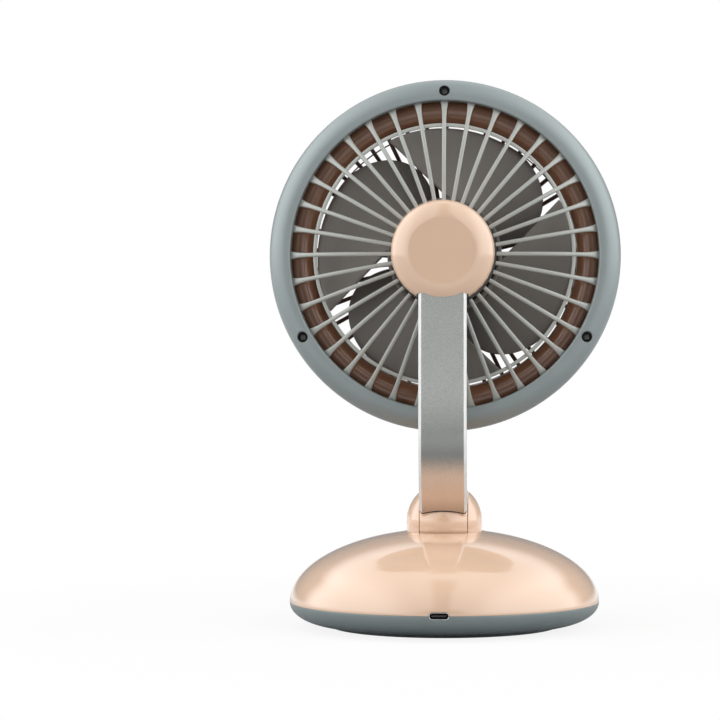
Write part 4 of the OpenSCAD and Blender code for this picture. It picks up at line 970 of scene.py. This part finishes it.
def frame_screws():
    """Pan-head screws with a cross recess, down in the ring's three holes, and the dark sleeve that
    lines each hole."""
    seat = CREST_Y - SCREW_DEPTH
    head_r = SCREW_HEAD_R - 0.35
    crown = arc((0.001, seat - 0.75), (head_r, 0.75), 90, 20, 10)
    outline = np.concatenate([crown, [[head_r, seat - 1.0], [0.001, seat - 1.0]]])
    screws = on_head_axis(spread(moved(lathe(outline, 48), x=SCREW_AT_R), SCREW_ANGLES))
    section = superellipse(np.array([0.9, 1.5]), np.array([0.2, 0.36]), 5, 20)
    slot = swept(section, ((0, 0, seat - 0.8), (0, 0, seat + 0.5)), up=(0, 1, 0))
    slots = [
        on_head_axis(turned(moved(turned(slot, spin + quarter), x=SCREW_AT_R), angle))
        for angle, spin in zip(SCREW_ANGLES, (20, 65, 40)) for quarter in (0, 90)
    ]
    make("frame_screws", screws, "frame_screw", "head", "frame_screws", less=slots)
    edge = SCREW_HOLE_R - 0.02
    sleeve = lathe(rounded([
        (edge - 0.22, CREST_Y - 2.1, 0.08), (edge, CREST_Y - 2.1, 0.02), (edge, seat - 1.3, 0.1),
        (0.001, seat - 1.3, 0), (0.001, seat - 0.98, 0), (edge - 0.22, seat - 0.98, 0.05),
    ]), 48)
    sleeves = on_head_axis(spread(moved(sleeve, x=SCREW_AT_R), SCREW_ANGLES))
    make("screw_sleeves", sleeves, "dark", "head")


def hub_cap():
    """Cap turned about the head's axis: flat middle, rounded rim, straight side. The rim is a quarter
    of an ellipse without its first degrees, so the flat has a crisp edge: the ellipse's angle there
    has the cosine (flat's radius - ellipse's middle) / half width. The arm's slot is cut through the
    side and the rim, and follows the arm's rear face and chamfers."""
    middle_r = CAP_R - CAP_RIM[0]
    first = math.acos((CAP_FLAT_R - middle_r) / CAP_RIM[0])
    centre = (middle_r, CAP_Y - CAP_RIM[1] * math.sin(first))
    wall = (CAP_RIM[0] - CAP_WALL, CAP_RIM[1] - CAP_WALL)
    low, inner_r = HUB_Y + 0.1, CAP_R - CAP_WALL
    outline = np.concatenate([
        [[0.001, CAP_Y], [CAP_FLAT_R - 0.6, CAP_Y], [CAP_FLAT_R - 0.15, CAP_Y]],
        arc(centre, CAP_RIM, math.degrees(first) - 1, 0, 36),
        [[CAP_R, low + 0.3], [CAP_R - 0.09, low + 0.09], [CAP_R - 0.3, low], [inner_r, low]],
        arc(centre, wall, 0, 88, 20), [[0.001, centre[1] + wall[1]]],
    ])
    over, flat = ARM_Y + 0.3, ARM_HALF - ARM_CHAMFER + 0.1
    shoulder = over - (CAP_SLOT_HALF - flat)
    slot = rounded([
        (-CAP_SLOT_HALF, HUB_Y - 3, 0.1), (CAP_SLOT_HALF, HUB_Y - 3, 0.1), (CAP_SLOT_HALF, shoulder, 0.2),
        (flat, over, 0.2), (-flat, over, 0.2), (-CAP_SLOT_HALF, shoulder, 0.2),
    ])
    path = (0, 0, HEAD_Z - 60.0), (0, 0, HEAD_Z - 7.8)
    less = [swept(slot, path, up=(0, 1, 0))]
    make("hub_cap", on_head_axis(lathe(outline, 240)), "peach", "head", "hub_cap", less=less)
    # Painted shadow: a dark ring just outside the cap's lower edge stands in for the shadow line round the
    # cap
    shadow_ring = disc(CAP_R - 0.5, CAP_R + 0.7, HUB_Y - 0.4, HUB_Y + 0.45, (0.1, 0.1, 0.3, 0.1), 192)
    make("cap_shadow_ring", on_head_axis(shadow_ring), "dark", "head")


def duct_shroud():
    """Inlet bell: the throat's straight wall, a round of an eighth and a quarter of a circle, and a
    slope out to the shell, with the same line one wall further in."""
    centre = (THROAT_R + BELL_R, BELL_Y - BELL_R)
    inner_r = BELL_R - BELL_T
    over, under = (arc(centre, (r, r), 180, 45, 40) for r in (BELL_R, inner_r))
    reach = SHELL_R - HEAD_WALL - 0.02
    foot = BELL_Y - BELL_R - THROAT_L
    outline = np.concatenate([
        [[THROAT_R + 0.3, foot], [THROAT_R, foot + 0.3]], over,
        [[reach, over[-1, 1] - reach + over[-1, 0]], [reach, under[-1, 1] - reach + under[-1, 0]]],
        under[::-1], [[THROAT_R + BELL_T, foot]],
    ])
    make("duct_shroud", on_head_axis(lathe(outline, 288)), "duct", "head", "shroud_ring")


def front_shell():
    """Front housing: outer wall, large front round, flat front and the duct's wall, turned as one."""
    wall_r, duct_out = SHELL_R - HEAD_WALL, DUCT_R + HEAD_WALL
    outline = rounded([
        (SHELL_R, PARTING_Y - 0.05, 0.3), (SHELL_R, FRONT_Y, SHELL_ROUND), (DUCT_R, FRONT_Y, 1.2),
        (DUCT_R, DUCT_TOP_Y, 0.5), (duct_out, DUCT_TOP_Y, 0.5), (duct_out, FRONT_Y + HEAD_WALL, 0.5),
        (wall_r, FRONT_Y + HEAD_WALL, SHELL_ROUND - HEAD_WALL), (wall_r, PARTING_Y - 0.05, 0.2),
    ], 18)
    make("front_shell", on_head_axis(lathe(outline, 288)), "peach", "head", "front_shell")


def front_guard():
    """Front ring, hub and bars. A bar is a rounded rectangle carried outwards along a bulge that falls
    with a power of the way out."""
    r = np.linspace(BAR_IN_R, DUCT_R - 1.3, 30)
    way = (r - BAR_IN_R) / (DUCT_R - BAR_IN_R)
    front = FRONT_Y - GRILLE_RISE * (1 - way**BAR_POWER)
    bars = radial_bars(r, front + BAR_DEPTH / 2, BAR_W / 2, BAR_DEPTH / 2, 16, BAR_COUNT)
    ring = disc(DUCT_R - 2, DUCT_R + 0.05, FRONT_Y, FRONT_Y + 3, (0.8, 0.8, 0.3, 0.5), 256)
    low = FRONT_Y - GRILLE_RISE - GRILLE_HUB_OVER
    hub = disc(0.001, GRILLE_HUB_R, low, low + BAR_DEPTH + 0.8, (0, 0.8, 0.5, 0), 128)
    wire = disc(WIRE_R - 0.3, WIRE_R + 0.3, FRONT_Y + 0.6, FRONT_Y - 0.6, (0.15,) * 4, 256, 3)
    make("front_guard", on_head_axis(joined(bars, ring, wire, hub)), "guard", "head", "front_grille")
    face = low - BADGE_T
    badge = lathe(rounded([
        (0.001, face + 0.15, 0), (BADGE_R - 2.2, face + 0.15, 0.2), (BADGE_R - 1.6, face, 0.3),
        (BADGE_R, face, 0.5), (BADGE_R, low + 0.1, 0.1), (0.001, low + 0.1, 0),
    ]), 128)
    make("front_badge", on_head_axis(badge), "grille", "head", "front_badge")


# Impeller

def blade():
    """One blade. Its middle surface runs out from the hub (u) and back from the straight leading edge
    (v). With t the sine of a quarter turn times u, the leading edge is the straight line between its
    points at the hub and the tip, the trailing edge turns from 11 degrees by 45 more as 1 minus the
    cosine of a quarter turn times u, and radius, angle and depth go evenly between the two in v. Half
    the thickness stands on each side, and goes to nothing over a quarter circle at every edge."""
    count = 44
    even = 0.5 - 0.5 * np.cos(np.linspace(0, math.pi, count))
    u, v = np.meshgrid(even, even, indexing="ij")
    quarter = u * math.pi / 2
    t = np.sin(quarter)
    root = IMPELLER_HUB_R - 0.8
    a0, a1 = math.radians(84), math.radians(116)
    start = root * np.array([math.cos(a0), math.sin(a0)])
    tip = IMPELLER_R * np.array([math.cos(a1), math.sin(a1)])
    lead = start + (tip - start) * t[..., None]
    lead_r, lead_angle = np.hypot(lead[..., 0], lead[..., 1]), np.arctan2(lead[..., 1], lead[..., 0])
    trail_angle = np.radians(11 + 45 * (1 - np.cos(quarter)))
    trail_r = root + (IMPELLER_R - root) * t
    r = lead_r + (trail_r - lead_r) * v
    angle = lead_angle + (trail_angle - lead_angle) * v
    drop = (8 + 2 * t) + ((27 - 5 * t) - (8 + 2 * t)) * v
    middle = at(r * np.cos(angle), r * np.sin(angle), MOTOR_Y - drop)
    normal = np.cross(np.gradient(middle, axis=0), np.gradient(middle, axis=1))
    normal /= np.maximum(np.linalg.norm(normal, axis=-1, keepdims=True), 1e-9)
    near = np.clip(np.minimum(np.minimum(u, 1 - u) * 34, np.minimum(v, 1 - v) * 52) / 0.8, 0, 1)
    offset = (BLADE_T / 2 * np.sqrt(1 - (1 - near) ** 2))[..., None] * normal
    faces = grid_quads(count, count)
    upper = (middle + offset).reshape(-1, 3), faces
    lower = (middle - offset).reshape(-1, 3), faces[:, ::-1]
    return outward(*joined(upper, lower))


def impeller():
    """Four blades on a drum that is closed in front and open behind, over the motor."""
    blades = spread(blade(), 360 / BLADE_COUNT * np.arange(BLADE_COUNT))
    make("impeller_blades", on_head_axis(blades), "blade", "impeller_unit")
    back, end, wall = MOTOR_Y - 6.5, MOTOR_Y - 31, 2.0
    drum = lathe(rounded([
        (1.5, end, 0.1), (IMPELLER_HUB_R, end, 1.6), (IMPELLER_HUB_R, back, 0.6),
        (IMPELLER_HUB_R - wall, back, 0.5), (IMPELLER_HUB_R - wall, end + wall, 0.5),
        (20.0, end + wall, 0.3), (20.0, end + 14, 0.3), (18.4, end + 14, 0.3), (18.4, end + wall, 0.3),
        (5.0, end + wall, 0.3), (5.0, end + 8, 0.1), (1.5, end + 8, 0.1),
    ], 6), 192)
    make("impeller_drum", on_head_axis(drum), "blade", "impeller_unit", "impeller")


# CAD nodes that stay as they are, and the material of each
KEPT_NODES = {
    "steel": """ballast_plate base_screws bearing_plate swivel_stop_pin turret_nut lower_hinge_pin
        arm_spine knuckle_screws hinge_bracket upper_hinge_pin stator_core rotor_cup motor_shaft
        motor_bearings""",
    "dark": "battery_trays board_parts button_switch upper_knuckle motor_base arm_lead",
    "screw": "bearing_plate_screws bracket_screws impeller_nut shaft_clip",
    "pad": "lower_friction_discs upper_washers",
    "cell": "battery_cells",
    "board": "control_board button_board motor_board",
    "copper": "stator_coils",
    "magnet": "rotor_magnet",
}


def dress_kept_nodes(frame):
    """Gives each CAD node that still shows its finish."""
    for paint, names in KEPT_NODES.items():
        for name in names.split():
            for slot in frame["nodes"][name].material_slots:
                slot.material = MATERIALS[paint]


def main():
    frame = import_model()
    bpy.context.scene.view_settings.view_transform = "Standard"
    make_camera()
    make_world()
    make_floor()
    for name, x in (("left_panel", 1.35), ("right_panel", -1.35)):
        softbox(name, (x, 0.35, 0.75), (0, 0, 0.12), (2.0, 1.7), SIDE_LEVEL)
    softbox("top_panel", (0.0, 0.35, 1.7), (0, 0, 0.15), (1.6, 1.5), TOP_LEVEL)
    for build in (
        base_dome, base_bowl, foot_disc, charging_port, power_button, indicator_lights, turret_sides,
        turret_caps, knuckle, arm, rear_guard, frame_screws, hub_cap, duct_shroud, front_shell,
        front_guard, impeller,
    ):
        build()
    dress_kept_nodes(frame)


main()
